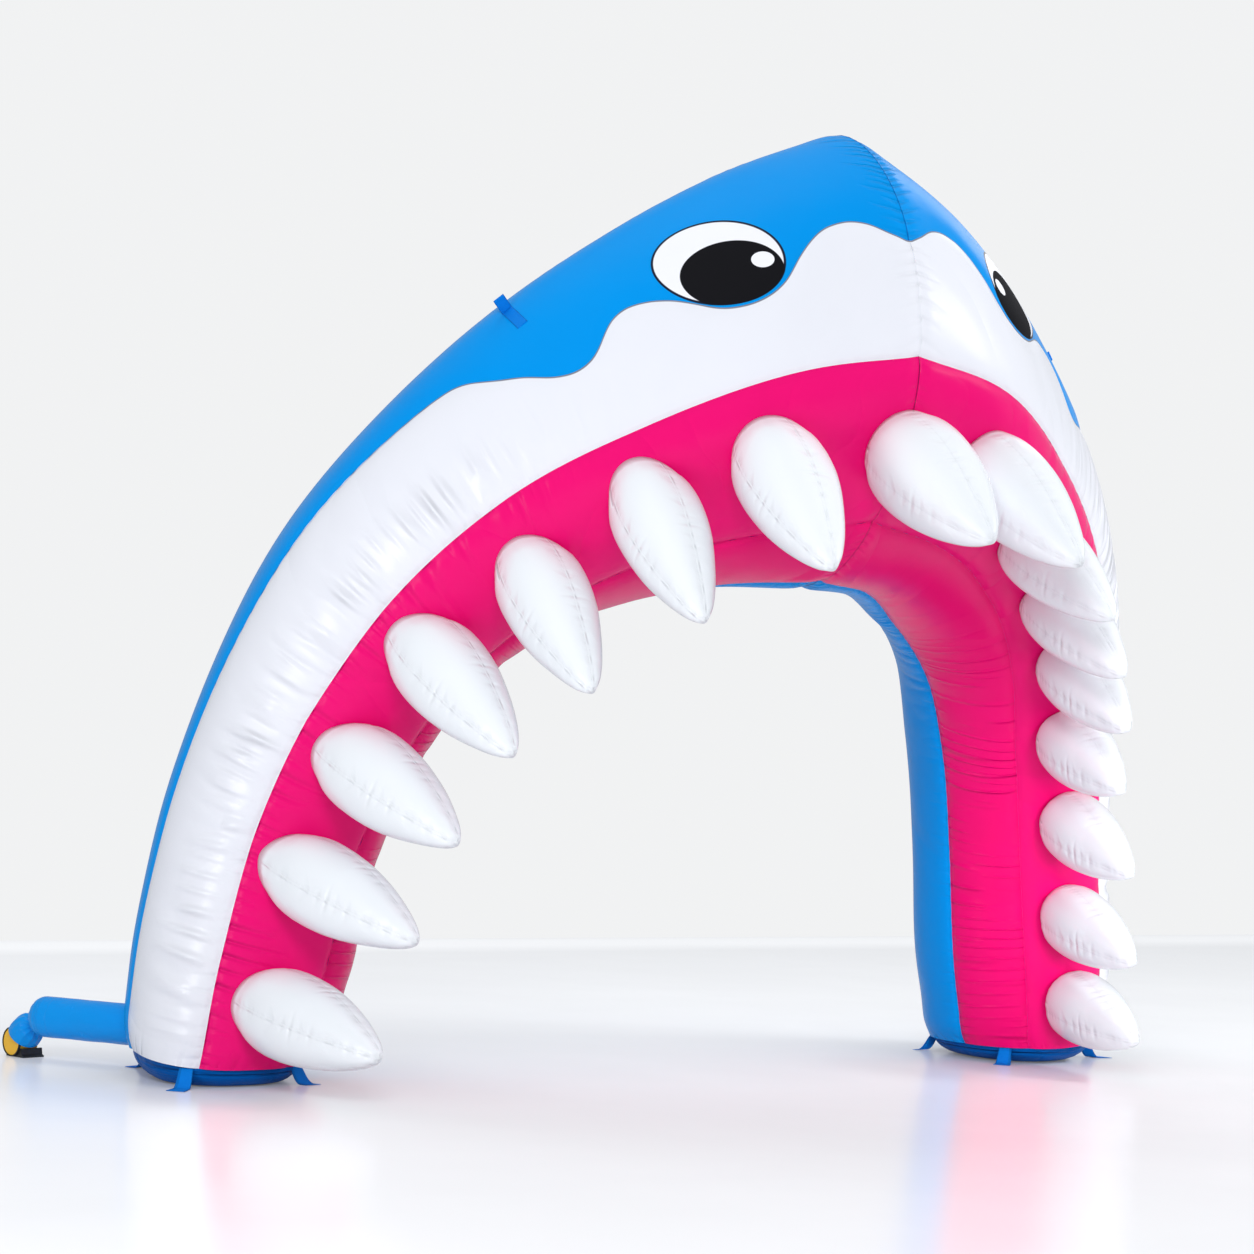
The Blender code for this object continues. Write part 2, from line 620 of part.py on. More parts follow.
def make_stand():
    """Foot and outlet box under the drum: an outline with the drum's cradle, extruded."""
    top, ahead, behind = STAND["height"], STAND["ahead"], STAND["behind"]
    cradle, height = DRUM["radius"] + GAP, DRUM["height"]
    half = math.asin(math.sqrt(cradle**2 - (height - top) ** 2) / cradle)
    outline = [(behind, 0.0), (ahead + STAND["toe"], 0.0), (ahead + STAND["toe"], STAND["toe_height"])]
    outline += [(ahead, STAND["toe_height"] * 1.6), (ahead - 0.004, top)]
    steps = 14
    for step in range(steps + 1):
        angle = half - (half + math.asin(-behind / cradle)) * step / steps
        outline.append((cradle * math.sin(angle), height - cradle * math.cos(angle)))
    bm = bmesh.new()
    face = bm.faces.new([bm.verts.new((x, y, -STAND["from"])) for x, y in outline])
    extruded = bmesh.ops.extrude_face_region(bm, geom=[face])["geom"]
    moved = [item for item in extruded if isinstance(item, bmesh.types.BMVert)]
    bmesh.ops.translate(bm, verts=moved, vec=(0.0, 0.0, STAND["from"] - STAND["to"]))
    add_object("blower_stand", mesh_from(bm, "blower_stand"), "black", blower_matrix())


MATERIALS = {name: make_material(name) for name in COLOURS}


def build():
    tree = skin_tree()
    make_panels()
    make_cups()
    make_floor_loops()
    for row in TEETH:
        make_tooth(tree, row)
    make_guy_loops(tree)
    make_neck(make_sleeve(tree))
    make_drum()
    make_drum_rim()
    make_stand()


clear_scene()
PARTS = make_collection("inflatable_arch")
build()
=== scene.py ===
from math import cos, degrees, exp, pi, radians, sin

import bmesh
import bpy
from mathutils import Matrix, Vector, noise
from mathutils.bvhtree import BVHTree


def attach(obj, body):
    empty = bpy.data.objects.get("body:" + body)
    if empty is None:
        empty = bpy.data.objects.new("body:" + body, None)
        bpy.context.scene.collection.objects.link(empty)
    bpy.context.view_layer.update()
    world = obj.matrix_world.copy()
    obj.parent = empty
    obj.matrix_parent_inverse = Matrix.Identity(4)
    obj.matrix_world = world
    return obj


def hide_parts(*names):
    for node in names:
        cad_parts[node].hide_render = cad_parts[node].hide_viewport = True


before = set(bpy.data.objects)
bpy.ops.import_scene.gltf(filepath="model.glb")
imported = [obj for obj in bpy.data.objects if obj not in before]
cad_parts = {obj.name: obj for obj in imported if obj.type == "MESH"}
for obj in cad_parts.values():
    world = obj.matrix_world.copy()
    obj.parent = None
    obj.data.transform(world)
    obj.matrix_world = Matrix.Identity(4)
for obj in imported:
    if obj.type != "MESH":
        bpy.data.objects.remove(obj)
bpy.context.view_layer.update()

archSet = bpy.data.collections.new("inflatable arch")
bpy.context.scene.collection.children.link(archSet)

# Places are measured from the floor between the feet; midFloor moves them into the frame.
midFloor = Vector((0.080, 0.763, 0.0))
upwards = Vector((0.0, 0.0, 1.0))
ahead = Vector((0.0, -1.0, 0.0))

# How the blown-up skin runs, with a row for each eighth of the way from the right foot to the
# nose. half, front, back: reach of the slice; power: 2 is an ellipse, less is pointed; the last
# three are seams, in degrees from the front.
stationColumns = (
    "x", "y", "z", "turn", "half", "front", "back", "power", "gumOut", "gumIn", "mouthIn",
)
stations = (
    (2.057, 0.000, 0.060, -2.2, 0.376, 0.394, 0.389, 2.35, 30.1, -30.9, -78.8),
    (1.976, -0.046, 0.522, -3.0, 0.439, 0.420, 0.418, 2.30, 31.2, -32.1, -78.2),
    (1.892, -0.113, 1.052, -1.6, 0.443, 0.427, 0.434, 2.24, 29.9, -33.1, -78.4),
    (1.758, -0.256, 1.557, 1.1, 0.462, 0.456, 0.467, 2.19, 27.7, -34.2, -78.8),
    (1.562, -0.456, 2.010, 5.3, 0.509, 0.519, 0.503, 2.04, 24.8, -34.1, -81.4),
    (1.259, -0.667, 2.392, 9.7, 0.592, 0.617, 0.539, 1.80, 20.7, -34.9, -83.8),
    (0.876, -0.871, 2.706, 11.7, 0.719, 0.729, 0.592, 1.66, 13.7, -39.7, -83.1),
    (0.437, -1.093, 2.946, 9.7, 0.850, 0.791, 0.642, 1.72, 9.1, -46.7, -82.6),
    (0.000, -1.230, 3.059, 4.2, 0.942, 0.734, 0.686, 1.80, 1.6, -53.5, -82.2),
)
# The wavy line where the white face meets the blue back: share of the way to the nose, degrees.
wave = (
    (0.000, 107.0), (0.060, 102.0), (0.125, 98.0), (0.250, 96.5), (0.375, 93.5), (0.500, 87.0),
    (0.600, 77.5), (0.640, 72.8), (0.653, 69.6), (0.672, 60.2), (0.688, 53.8), (0.701, 47.8),
    (0.712, 44.4), (0.723, 43.0), (0.735, 44.4), (0.743, 47.8), (0.752, 52.3), (0.764, 54.4),
    (0.778, 52.8), (0.794, 48.5), (0.808, 43.1), (0.820, 38.5), (0.832, 36.0), (0.846, 34.9),
    (0.860, 35.7), (0.873, 38.6), (0.883, 43.0), (0.897, 47.6), (0.911, 50.4), (0.926, 51.1),
    (0.942, 50.4), (0.960, 47.7), (0.980, 42.9), (1.000, 39.0),
)
# Shares of the way: where a slice turns level at the foot and square at the nose, and two steps.
sliceLook = {"foot": 0.10, "nose": 0.50, "step": 0.001, "waveStep": 0.004}


def limit(value):
    return min(max(value, 0.0), 1.0)


def hill(away, width):  # 1 at its middle, fading to both sides
    return exp(-((away / width) ** 2))


def smoothValue(before, low, high, after, t):  # an even curve through low and high
    return 0.5 * (
        2 * low
        + (high - before) * t
        + (2 * before - 5 * low + 4 * high - after) * t**2
        + (3 * low - before - 3 * high + after) * t**3
    )


def curveAt(rows, share):  # a smooth curve through rows of (share, value)
    row = 0
    while row < len(rows) - 2 and share > rows[row + 1][0]:
        row += 1
    (low, lowValue), (high, highValue) = rows[row], rows[row + 1]
    t = (share - low) / (high - low)
    slopes = []
    for at in (row, row + 1):
        one, two = rows[max(at - 1, 0)], rows[min(at + 1, len(rows) - 1)]
        slopes.append((two[1] - one[1]) / (two[0] - one[0]) * (high - low))
    return (
        lowValue * (2 * t**3 - 3 * t**2 + 1)
        + slopes[0] * (t**3 - 2 * t**2 + t)
        + highValue * (3 * t**2 - 2 * t**3)
        + slopes[1] * (t**3 - t**2)
    )


def waveAt(place):  # eased over a short stretch either side
    step = sliceLook["waveStep"]
    return sum(curveAt(wave, limit(place + ease)) for ease in (-step, 0.0, step)) / 3


def stationAt(place):
    last = len(stations) - 1
    position = limit(place) * last
    row = min(int(position), last - 1)
    low, high = stations[row], stations[row + 1]
    before = stations[row - 1] if row else [2 * a - b for a, b in zip(low, high)]
    after = stations[row + 2] if row + 2 <= last else [2 * b - a for a, b in zip(low, high)]
    values = [smoothValue(*four, position - row) for four in zip(before, low, high, after)]
    return dict(zip(stationColumns, values))


class Section:
    # One slice across the right half of the arch.
    def __init__(self, place):
        step = sliceLook["step"]
        low, self.sizes, high = (stationAt(place + shift) for shift in (-step, 0.0, step))
        self.place = place
        self.middle = Vector([self.sizes[axis] for axis in "xyz"])
        along = Vector([high[axis] - low[axis] for axis in "xyz"]).normalized()
        nose = limit((place - sliceLook["nose"]) / (1 - sliceLook["nose"]))
        nose = nose * nose * (3 - 2 * nose)
        along = (along * (1 - nose) + Vector((-1.0, 0.0, 0.0)) * nose).normalized()
        level = max(1 - place / sliceLook["foot"], 0.0) ** 2
        self.along = (along * (1 - level) + upwards * level).normalized()
        self.outwards = self.along.cross(ahead).normalized()
        self.forwards = self.outwards.cross(self.along)
        turn = radians(self.sizes["turn"])
        self.turn = (sin(turn), cos(turn))

    def spot(self, angle, inset=0.0):
        sine, cosine = sin(radians(angle)), cos(radians(angle))
        reach = self.sizes["front"] if cosine > 0 else self.sizes["back"]
        power = self.sizes["power"]
        radius = abs(sine / self.sizes["half"]) ** power + abs(cosine / reach) ** power
        radius = radius ** (-1 / power) - inset
        turnSine, turnCosine = self.turn
        out = radius * (sine * turnCosine - cosine * turnSine)
        forth = radius * (sine * turnSine + cosine * turnCosine)
        return self.middle + self.outwards * out + self.forwards * forth


def inFrame(spot, side=1):
    return Vector((side * spot.x, spot.y, spot.z)) + midFloor


def noiseAt(x, y, z=0.0):
    return noise.noise(Vector((x, y, z)))


def endOf(side):
    return "left" if side < 0 else "right"


class Wire:
    # A shader output that takes part in sums as a number does.
    def __init__(self, graph, socket):
        self.graph, self.socket = graph, socket

    def math(self, operation, *values, clamp=False):
        return self.graph.math(operation, self, *values, clamp=clamp)

    def __add__(self, other):
        return self.math("ADD", other)

    def __sub__(self, other):
        return self.math("SUBTRACT", other)

    def __mul__(self, other):
        return self.math("MULTIPLY", other)

    def __truediv__(self, other):
        return self.math("DIVIDE", other)

    def __pow__(self, other):
        return self.math("POWER", other)

    def __radd__(self, other):
        return self.graph.math("ADD", other, self)

    def __rsub__(self, other):
        return self.graph.math("SUBTRACT", other, self)

    def __rmul__(self, other):
        return self.graph.math("MULTIPLY", other, self)

    def __neg__(self):
        return self.math("MULTIPLY", -1.0)

    def __abs__(self):
        return self.math("ABSOLUTE")

    def clamped(self):
        return self.math("ADD", 0.0, clamp=True)

    def below(self, edge, soft):  # 1 under the edge, 0 over it
        return (0.5 - (self - edge) / (2 * soft)).clamped()


class Finish:
    # One material: its graph and its shader.
    def __init__(self, name, **settings):
        self.material = bpy.data.materials.new(name)
        self.material.use_nodes = True
        self.tree = self.material.node_tree
        self.shader = self.tree.nodes["Principled BSDF"]
        for socket, value in settings.items():
            self.feed(self.shader.inputs[socket.replace("_", " ")], value)

    def feed(self, socket, value):
        if isinstance(value, Wire):
            self.tree.links.new(value.socket, socket)
        elif isinstance(value, tuple) and len(value) == 3 and len(socket.default_value) == 4:
            socket.default_value = (*value, 1.0)
        else:
            socket.default_value = value

    def add(self, kind, settings=None, values=None, output=0):
        node = self.tree.nodes.new("ShaderNode" + kind)
        for name, value in (settings or {}).items():
            setattr(node, name, value)
        for name, value in (values or {}).items():
            self.feed(node.inputs[name], value)
        return Wire(self, node.outputs[output])

    def math(self, operation, *values, clamp=False):
        settings = {"operation": operation, "use_clamp": clamp}
        return self.add("Math", settings, dict(enumerate(values)))

    def mixColours(self, share, one, two):
        return self.add("Mix", {"data_type": "RGBA"}, {0: share, 6: one, 7: two}, output=2)

    def point(self, x=0.0, y=0.0, z=0.0):
        return self.add("CombineXYZ", None, {0: x, 1: y, 2: z})

    def noise(self, where, scale=1.0, detail=2.0, rough=0.5, dimensions="3D"):
        settings = {"noise_dimensions": dimensions}
        values = {"Vector": where, "Scale": scale, "Detail": detail, "Roughness": rough}
        return self.add("TexNoise", settings, values)

    def flatNoise(self, x, y, detail, rough=0.5):
        return self.noise(self.point(x, y), 1.0, detail, rough, "2D")

    def parts(self, where):
        split = self.tree.nodes.new("ShaderNodeSeparateXYZ")
        self.feed(split.inputs[0], where)
        return [Wire(self, output) for output in split.outputs]

    def objectAxes(self):
        where = self.add("TexCoord", output="Object")
        return where, self.parts(where)

    def clothAxes(self):  # metres across the cloth and along it
        return self.parts(self.add("UVMap", {"uv_map": "cloth"}))[:2]

    def measure(self, name):
        return self.add("Attribute", {"attribute_name": name}, output=2)

    def paint(self, colour):
        self.feed(self.shader.inputs["Base Color"], colour)

    def roughness(self, value):
        self.feed(self.shader.inputs["Roughness"], value)

    def relief(self, *heights):  # metres
        values = {"Height": sum(heights[1:], heights[0]), "Distance": 1.0}
        self.feed(self.shader.inputs["Normal"], self.add("Bump", None, values))


creaseLook = {
    "driftScale": 2.2, "drift": 5.0, "slant": 0.15, "lengthScale": 0.9, "longest": 1.7,
    "start": 0.008, "sharp": 9.0,
}


def creases(finish, along, away, pitch, reach, depth, seed, sharp=creaseLook["sharp"]):
    # Short pinched folds that run away from a seam, as metres of depth.
    look = creaseLook
    drift = finish.flatNoise(along * look["driftScale"], seed, 1.0) * look["drift"]
    phase = (along + away * look["slant"]) / pitch + drift
    pinch = abs((phase * pi).math("COSINE")) ** sharp
    length = finish.flatNoise(along / pitch * look["lengthScale"], seed + 7.0, 0.0)
    share = (1.0 - away / (reach * (length * look["longest"]))).math("MAXIMUM", 0.0)
    start = (away / look["start"]).math("MINIMUM", 1.0)
    return -(pinch * share * start * depth)


foldLook = {"detail": 1.5, "rough": 0.45, "valley": 0.16, "gain": 6.0}


def folds(finish, along, across, pitch, length, depth, seed, slant=0.0):
    # Long creases across the cloth: soft swells that meet in sharp valleys.
    x, y = (along + across * slant) / pitch, across / length + seed
    swell = finish.flatNoise(x, y, foldLook["detail"], foldLook["rough"])
    return abs(swell - 0.5).math("MINIMUM", foldLook["valley"]) * (depth * foldLook["gain"])


lineLook = {
    "unevenScale": 3.0, "driftScale": (0.9, 1.2), "drift": 1.5, "patchScale": (3.1, 2.4),
    "patchFrom": 0.44, "patchGain": 7.0, "sharp": 22.0, "bandSharp": 5.0, "footHeld": (0.1, 0.35),
}


def lines(finish, along, across, pitch, depth, seed, slant=0.0, sharp=lineLook["sharp"]):
    # Crisp ridges across the cloth, in patches.
    look = lineLook
    uneven = finish.flatNoise(along * look["unevenScale"], seed, 0.0) * look["drift"]
    x, y = look["driftScale"]
    drift = finish.flatNoise(along * x + seed, across * y, 0.0) * look["drift"]
    phase = (along + across * slant) / pitch + uneven + drift
    ridge = abs((phase * pi).math("COSINE")) ** sharp
    x, y = look["patchScale"]
    patch = finish.flatNoise(along * x + seed, across * y, 1.0) - look["patchFrom"]
    return ridge * (patch * look["patchGain"]).clamped() * depth


def bandFolds(finish, along, away, pitch, centre, spread, depth, slant, seed):
    # Broad loose folds in a band that lies some way in from the seam; the foot is held smooth.
    band = (((away - centre) / spread) ** 2.0 * -1.0).math("EXPONENT")
    heldTo, over = lineLook["footHeld"]
    loose = ((along - heldTo) / over).clamped()
    ridges = lines(finish, along, away, pitch, depth, seed, slant, lineLook["bandSharp"])
    return ridges * band * loose


def weave(finish, across, along, pitch, depth):
    turns = 2 * pi / pitch
    return (across * turns).math("SINE") * (along * turns).math("SINE") * depth


stitchLook = {"pitch": 0.004, "gap": -0.35, "fromSeam": 0.007, "thread": (0.0008, 0.0003)}


def seamStitches(along, away):  # a row of thread beside the seam
    dash = (along * (pi / stitchLook["pitch"])).math("SINE")
    row = abs(away - stitchLook["fromSeam"]).below(*stitchLook["thread"])
    return dash.math("GREATER_THAN", stitchLook["gap"]) * row


clothLook = {
    "weave": (0.0016, 0.00003), "shadeScale": 1.7, "blotchScale": 9.0,
    "rough": (-0.05, 0.06, 0.05), "stitchShade": 0.25, "stitchDepth": 0.0004, "looseFade": 0.4,
    "small": (0.47, 0.4, 0.4), "noseSharp": 6.0, "noseLine": (0.0035, 0.0015),
}


def clothFinish(name, look):
    finish = Finish(name, Roughness=look["roughness"], Specular_IOR_Level=look["gloss"])
    across, along = finish.clothAxes()
    objectPoint, axes = finish.objectAxes()
    edges = {"low": finish.measure("fromLow"), "high": finish.measure("fromHigh")}
    broad = finish.noise(objectPoint, clothLook["shadeScale"], 3.0)
    colour = finish.mixColours(broad, look["colour"], look["second"])
    blotch = finish.noise(objectPoint, clothLook["blotchScale"], 2.0, 0.6)
    base, broadShare, blotchShare = clothLook["rough"]
    rough = look["roughness"] + base + broad * broadShare + blotch * blotchShare
    stitches = seamStitches(along, edges["low"].math("MINIMUM", edges["high"]))
    colour = finish.mixColours(stitches * clothLook["stitchShade"], colour, look["thread"])
    heights = [weave(finish, across, along, *clothLook["weave"])]
    heights.append(stitches * -clothLook["stitchDepth"])
    # The cloth is drawn smooth beyond so many metres.
    loose = along.below(look.get("until", 9.0), clothLook["looseFade"])
    sharp = look.get("sharp", creaseLook["sharp"])
    for seed, edge in ((3.0, "low"), (17.0, "high")):
        if edge in look:
            small = [size * share for size, share in zip(look[edge], clothLook["small"])]
            for sizes, shift in ((look[edge], 0.0), (small, 8.0)):
                crease = creases(finish, along, edges[edge], *sizes, seed + shift, sharp)
                heights.append(crease * loose)
    if "foot" in look:
        heights.append(creases(finish, across, along, *look["foot"], seed=31.0))
    if "nose" in look:
        nose = abs(axes[0] - midFloor.x)
        heights.append(creases(finish, across, nose, *look["nose"], 5.0, clothLook["noseSharp"]))
        line = nose.below(*clothLook["noseLine"]) * look["noseLine"]
        colour = finish.mixColours(line, colour, look["thread"])
    for number, (pitch, length, depth, slant, fade) in enumerate(look["folds"]):
        crease = folds(finish, along, across, pitch, length, depth, number * 9.0 + 2.0, slant)
        if fade:
            crease = crease * (edges["low"] * (-1.0 / fade)).math("EXPONENT")
        heights.append(crease)
    for number, (pitch, depth) in enumerate(look.get("lines", ())):
        heights.append(lines(finish, along, across, pitch, depth, number * 5.0 + 1.0) * loose)
    for number, band in enumerate(look.get("bands", ())):
        fold = bandFolds(finish, along, edges["low"], *band, seed=number * 4.0 + 6.0)
        heights.append(fold * loose)
    if "print" in look:
        colour, rough = look["print"](finish, axes, edges, colour, rough)
    finish.paint(colour)
    finish.roughness(rough)
    finish.relief(*heights)
    return finish.material


# The printed eye, laid flat on the blue back beside the nose. One is the other's mirrored copy.
eyeLook = {
    "middle": (-0.723, -1.583, 3.340),
    "right": (0.744, -0.669, 0.0),
    "up": (0.312, 0.347, 0.884),
    "white": {"at": (-0.006, 0.0385), "half": (0.264, 0.1965), "lean": -6.0},
    "pupil": {"at": (0.059, -0.020), "half": (0.209, 0.156), "lean": 4.0},
    "glint": {"at": (0.174, 0.046), "half": (0.046, 0.038), "lean": 0.0},
    "outline": 0.010, "soft": 0.006, "frontOnly": (-0.9, 0.01), "dull": 0.5,
    "line": (0.012, 0.014, 0.030), "paper": (0.86, 0.87, 0.93), "ink": (0.008, 0.008, 0.010),
}


def eyePrint(finish, axes, edges, colour, rough):
    middle = Vector(eyeLook["middle"]) + midFloor
    mirrored = -abs(axes[0] - midFloor.x) + midFloor.x
    offsets = [mirrored - middle.x, axes[1] - middle.y, axes[2] - middle.z]
    flat = []
    for way in ("right", "up"):
        terms = [offset * value for offset, value in zip(offsets, eyeLook[way])]
        flat.append(terms[0] + terms[1] + terms[2])

    def oval(part, grow=0.0):
        lean = radians(part["lean"])
        x, y = (flat[i] - part["at"][i] for i in (0, 1))
        turnedX = (x * cos(lean) + y * sin(lean)) / (part["half"][0] + grow)
        turnedY = (y * cos(lean) - x * sin(lean)) / (part["half"][1] + grow)
        size = (turnedX * turnedX + turnedY * turnedY) ** 0.5
        return size.below(1.0, eyeLook["soft"])

    frontFrom, soft = eyeLook["frontOnly"]
    facing = axes[1].below(midFloor.y + frontFrom, soft)
    outline = oval(eyeLook["white"], eyeLook["outline"])
    pupil = oval(eyeLook["pupil"]) * outline
    inks = ((outline, "line"), (oval(eyeLook["white"]), "paper"), (pupil, "ink"),
            (oval(eyeLook["glint"]), "paper"))
    for shape, ink in inks:
        colour = finish.mixColours(shape * facing, colour, eyeLook[ink])
    return colour, rough + pupil * facing * eyeLook["dull"]


edgeLook = {"from": 2.55, "fade": 0.12, "wide": 0.0070, "soft": 0.0015, "share": 0.80,
            "colour": (0.05, 0.07, 0.12)}


def wavePrint(finish, axes, edges, colour, rough):  # thin grey line printed along the wavy edge
    high = (edgeLook["from"] - axes[2]).below(0.0, edgeLook["fade"])
    line = edges["high"].below(edgeLook["wide"], edgeLook["soft"])
    return finish.mixColours(line * high * edgeLook["share"], colour, edgeLook["colour"]), rough


# creases beside a seam: pitch, reach, depth; folds: pitch, length, depth, slant, fade from the
# low seam; lines: pitch, depth; bands: pitch, centre, spread, depth, slant.
clothLooks = {
    "blue": {
        "colour": (0.0, 0.272, 0.755), "second": (0.0, 0.301, 0.81), "thread": (0.0, 0.08, 0.36),
        "roughness": 0.24, "gloss": 0.07,
        "high": (0.085, 0.11, 0.003), "foot": (0.075, 0.12, 0.004),
        "nose": (0.044, 0.12, 0.0095), "noseLine": 0.75,
        "folds": ((0.6, 1.4, 0.004, 0.1, 0.0),), "print": eyePrint,
    },
    "white": {
        "colour": (0.79, 0.805, 0.872), "second": (0.82, 0.832, 0.885), "thread": (0.6, 0.62, 0.72),
        "roughness": 0.22, "gloss": 0.5, "until": 3.2,
        "low": (0.128, 0.15, 0.004), "foot": (0.085, 0.14, 0.0035),
        "nose": (0.07, 0.13, 0.005), "noseLine": 0.12,
        "folds": ((0.55, 0.8, 0.004, -0.25, 0.0),), "print": wavePrint,
        "bands": ((0.13, 0.15, 0.11, 0.013, -0.04), (0.075, 0.17, 0.09, 0.0065, 0.0)),
    },
    "gumPink": {
        "colour": (0.81, 0.002, 0.155), "second": (0.86, 0.004, 0.18), "thread": (0.42, 0.0, 0.07),
        "roughness": 0.24, "gloss": 0.13, "until": 2.5,
        "high": (0.13, 0.28, 0.0105), "foot": (0.075, 0.08, 0.0035),
        "nose": (0.06, 0.06, 0.004), "noseLine": 0.5,
        "folds": ((0.32, 0.6, 0.005, 0.1, 0.0),),
    },
    "mouthPink": {
        "colour": (0.8, 0.002, 0.145), "second": (0.85, 0.003, 0.17), "thread": (0.4, 0.0, 0.06),
        "roughness": 0.21, "gloss": 0.11, "until": 2.0,
        "low": (0.12, 0.12, 0.0012), "foot": (0.075, 0.08, 0.003),
        "nose": (0.06, 0.06, 0.004), "noseLine": 0.5, "lines": ((0.095, 0.007), (0.052, 0.004)),
        "folds": ((0.4, 1.0, 0.006, 0.0, 0.0),),
    },
    "tooth": {
        "colour": (0.84, 0.875, 0.915), "second": (0.86, 0.89, 0.925), "thread": (0.7, 0.72, 0.8),
        "roughness": 0.22, "gloss": 0.5,
        "low": (0.076, 0.06, 0.0038), "sharp": 4.0, "folds": ((0.45, 0.45, 0.0025, 0.3, 0.0),),
    },
    "ground": {
        "colour": (0.0, 0.085, 0.36), "second": (0.0, 0.105, 0.42), "thread": (0.0, 0.03, 0.15),
        "roughness": 0.4, "gloss": 0.05,
        "low": (0.15, 0.07, 0.012), "folds": ((0.2, 0.2, 0.003, 0.0, 0.0),),
    },
    "sleeve": {
        "colour": (0.0, 0.275, 0.775), "second": (0.0, 0.303, 0.83), "thread": (0.0, 0.08, 0.34),
        "roughness": 0.25, "gloss": 0.2,
        "low": (0.03, 0.05, 0.004), "folds": ((0.3, 0.2, 0.004, 0.2, 0.0),),
    },
}
cloths = {name: clothFinish(name + " cloth", look) for name, look in clothLooks.items()}
print("cloth finishes ready")


def clothGrid(columns, rows, spotAt, measures=("fromLow", "fromHigh")):
    # A grid whose points go where spotAt(across, along) says, as spot, cloth metres and measures.
    bm = bmesh.new()
    bmesh.ops.create_grid(bm, x_segments=columns, y_segments=rows, size=0.5)
    layers = [bm.verts.layers.float.new(name) for name in measures]
    cloth = bm.loops.layers.uv.new("cloth")
    metres = {}
    for vert in bm.verts:
        spot, flat, values = spotAt(vert.co.x + 0.5, vert.co.y + 0.5)
        metres[vert] = flat
        for layer, value in zip(layers, values):
            vert[layer] = value
        vert.co = spot
    for face in bm.faces:
        for loop in face.loops:
            loop[cloth].uv = metres[loop.vert]
    return bm


def finishPiece(bm, name, material, outFrom=None, merge=0.0):
    if merge:
        bmesh.ops.remove_doubles(bm, verts=bm.verts, dist=merge)
        bmesh.ops.dissolve_degenerate(bm, edges=bm.edges, dist=merge / 2)
    bmesh.ops.recalc_face_normals(bm, faces=bm.faces)
    if outFrom is not None:
        facing = sum(
            face.normal.dot(face.calc_center_median() - outFrom(face.calc_center_median()))
            for face in list(bm.faces)[:: max(len(bm.faces) // 200, 1)]
        )
        if facing < 0:
            bmesh.ops.reverse_faces(bm, faces=bm.faces)
    mesh = bpy.data.meshes.new(name)
    bm.to_mesh(mesh)
    bm.free()
    mesh.shade_smooth()
    mesh.materials.append(material)
    piece = bpy.data.objects.new(name, mesh)
    archSet.objects.link(piece)
    return piece


def thicken(piece, thickness, offset=-1.0):
    wall = piece.modifiers.new("cloth thickness", "SOLIDIFY")
    wall.thickness, wall.offset = thickness, offset


def dress(piece, node):
    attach(piece, "root")
    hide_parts(node)


# A seam's dip and how the cloth lies beside it, in metres; flat is how much of the dip the
# printed wavy edge loses, and where.
seam = {
    "dip": 0.008, "spread": 0.016, "pitch": 0.085, "ripple": 0.10, "gap": 0.0003, "closer": 0.105,
    "settle": 0.012, "swell": 0.007, "swellFrom": 0.05, "uneven": 0.0035, "unevenScale": 2.3,
    "flat": 0.75, "flatFrom": 0.56, "flatOver": 0.08, "noseSpread": 0.035,
}
panelRows = 400
# trough: pitch, centre, spread, depth, slant
panelLooks = {
    "gum": {
        "columns": 26, "cloth": "gumPink", "slot": "pink_cloth", "flat": (0.62, 4.24), "area": 2.32,
        "trough": (0.130, 0.03, 0.11, 0.0060, 0.10), "troughFrom": "high", "noseDip": 0.008,
    },
    "mouth": {
        "columns": 28, "cloth": "mouthPink", "slot": "pink_cloth", "flat": (0.66, 4.0),
        "trough": (0.210, 0.25, 0.30, 0.0060, 0.00), "troughFrom": "low", "noseDip": 0.008,
        "area": 1.42,
    },
    "face": {
        "columns": 44, "cloth": "white", "slot": "white_cloth", "flat": (1.0, 4.6), "area": 2.46,
        "trough": (0.128, 0.15, 0.13, 0.0145, -0.04), "troughFrom": "low", "noseDip": 0.010,
    },
    "back": {
        "columns": 76, "cloth": "blue", "slot": "blue_cloth", "flat": (2.6, 4.8), "area": 8.5,
        "trough": (0.110, 0.05, 0.14, 0.0100, 0.50), "troughFrom": "high", "noseDip": 0.014,
    },
}


def panelEdges(panel, section):
    sizes = section.sizes
    return {
        "gum": (sizes["gumIn"], sizes["gumOut"]),
        "face": (sizes["gumOut"], waveAt(section.place)),
        "back": (waveAt(section.place), 360.0 + sizes["mouthIn"]),
        "mouth": (sizes["mouthIn"], sizes["gumIn"]),
    }[panel]


def panelRowsOf(panel, columns):
    # Every row's section, its angles across and the metres between them.
    rows, run, before = [], 0.0, None
    for step in range(panelRows + 1):
        section = Section(step / panelRows)
        start, end = panelEdges(panel, section)
        middle = section.spot((start + end) / 2)
        if before is not None:
            run += (middle - before).length
        before = middle
        gap = degrees(seam["gap"] / 2 / section.sizes["half"])
        angles = []
        for column in range(columns + 1):
            share = column / columns
            share -= seam["closer"] * sin(2 * pi * share)  # closer beside the seams
            angles.append(start + gap + (end - start - 2 * gap) * share)
        spots = [section.spot(angle) for angle in angles]
        widths = [0.0]
        for one, two in zip(spots, spots[1:]):
            widths.append(widths[-1] + (two - one).length)
        rows.append((section, angles, widths, run))
    return rows


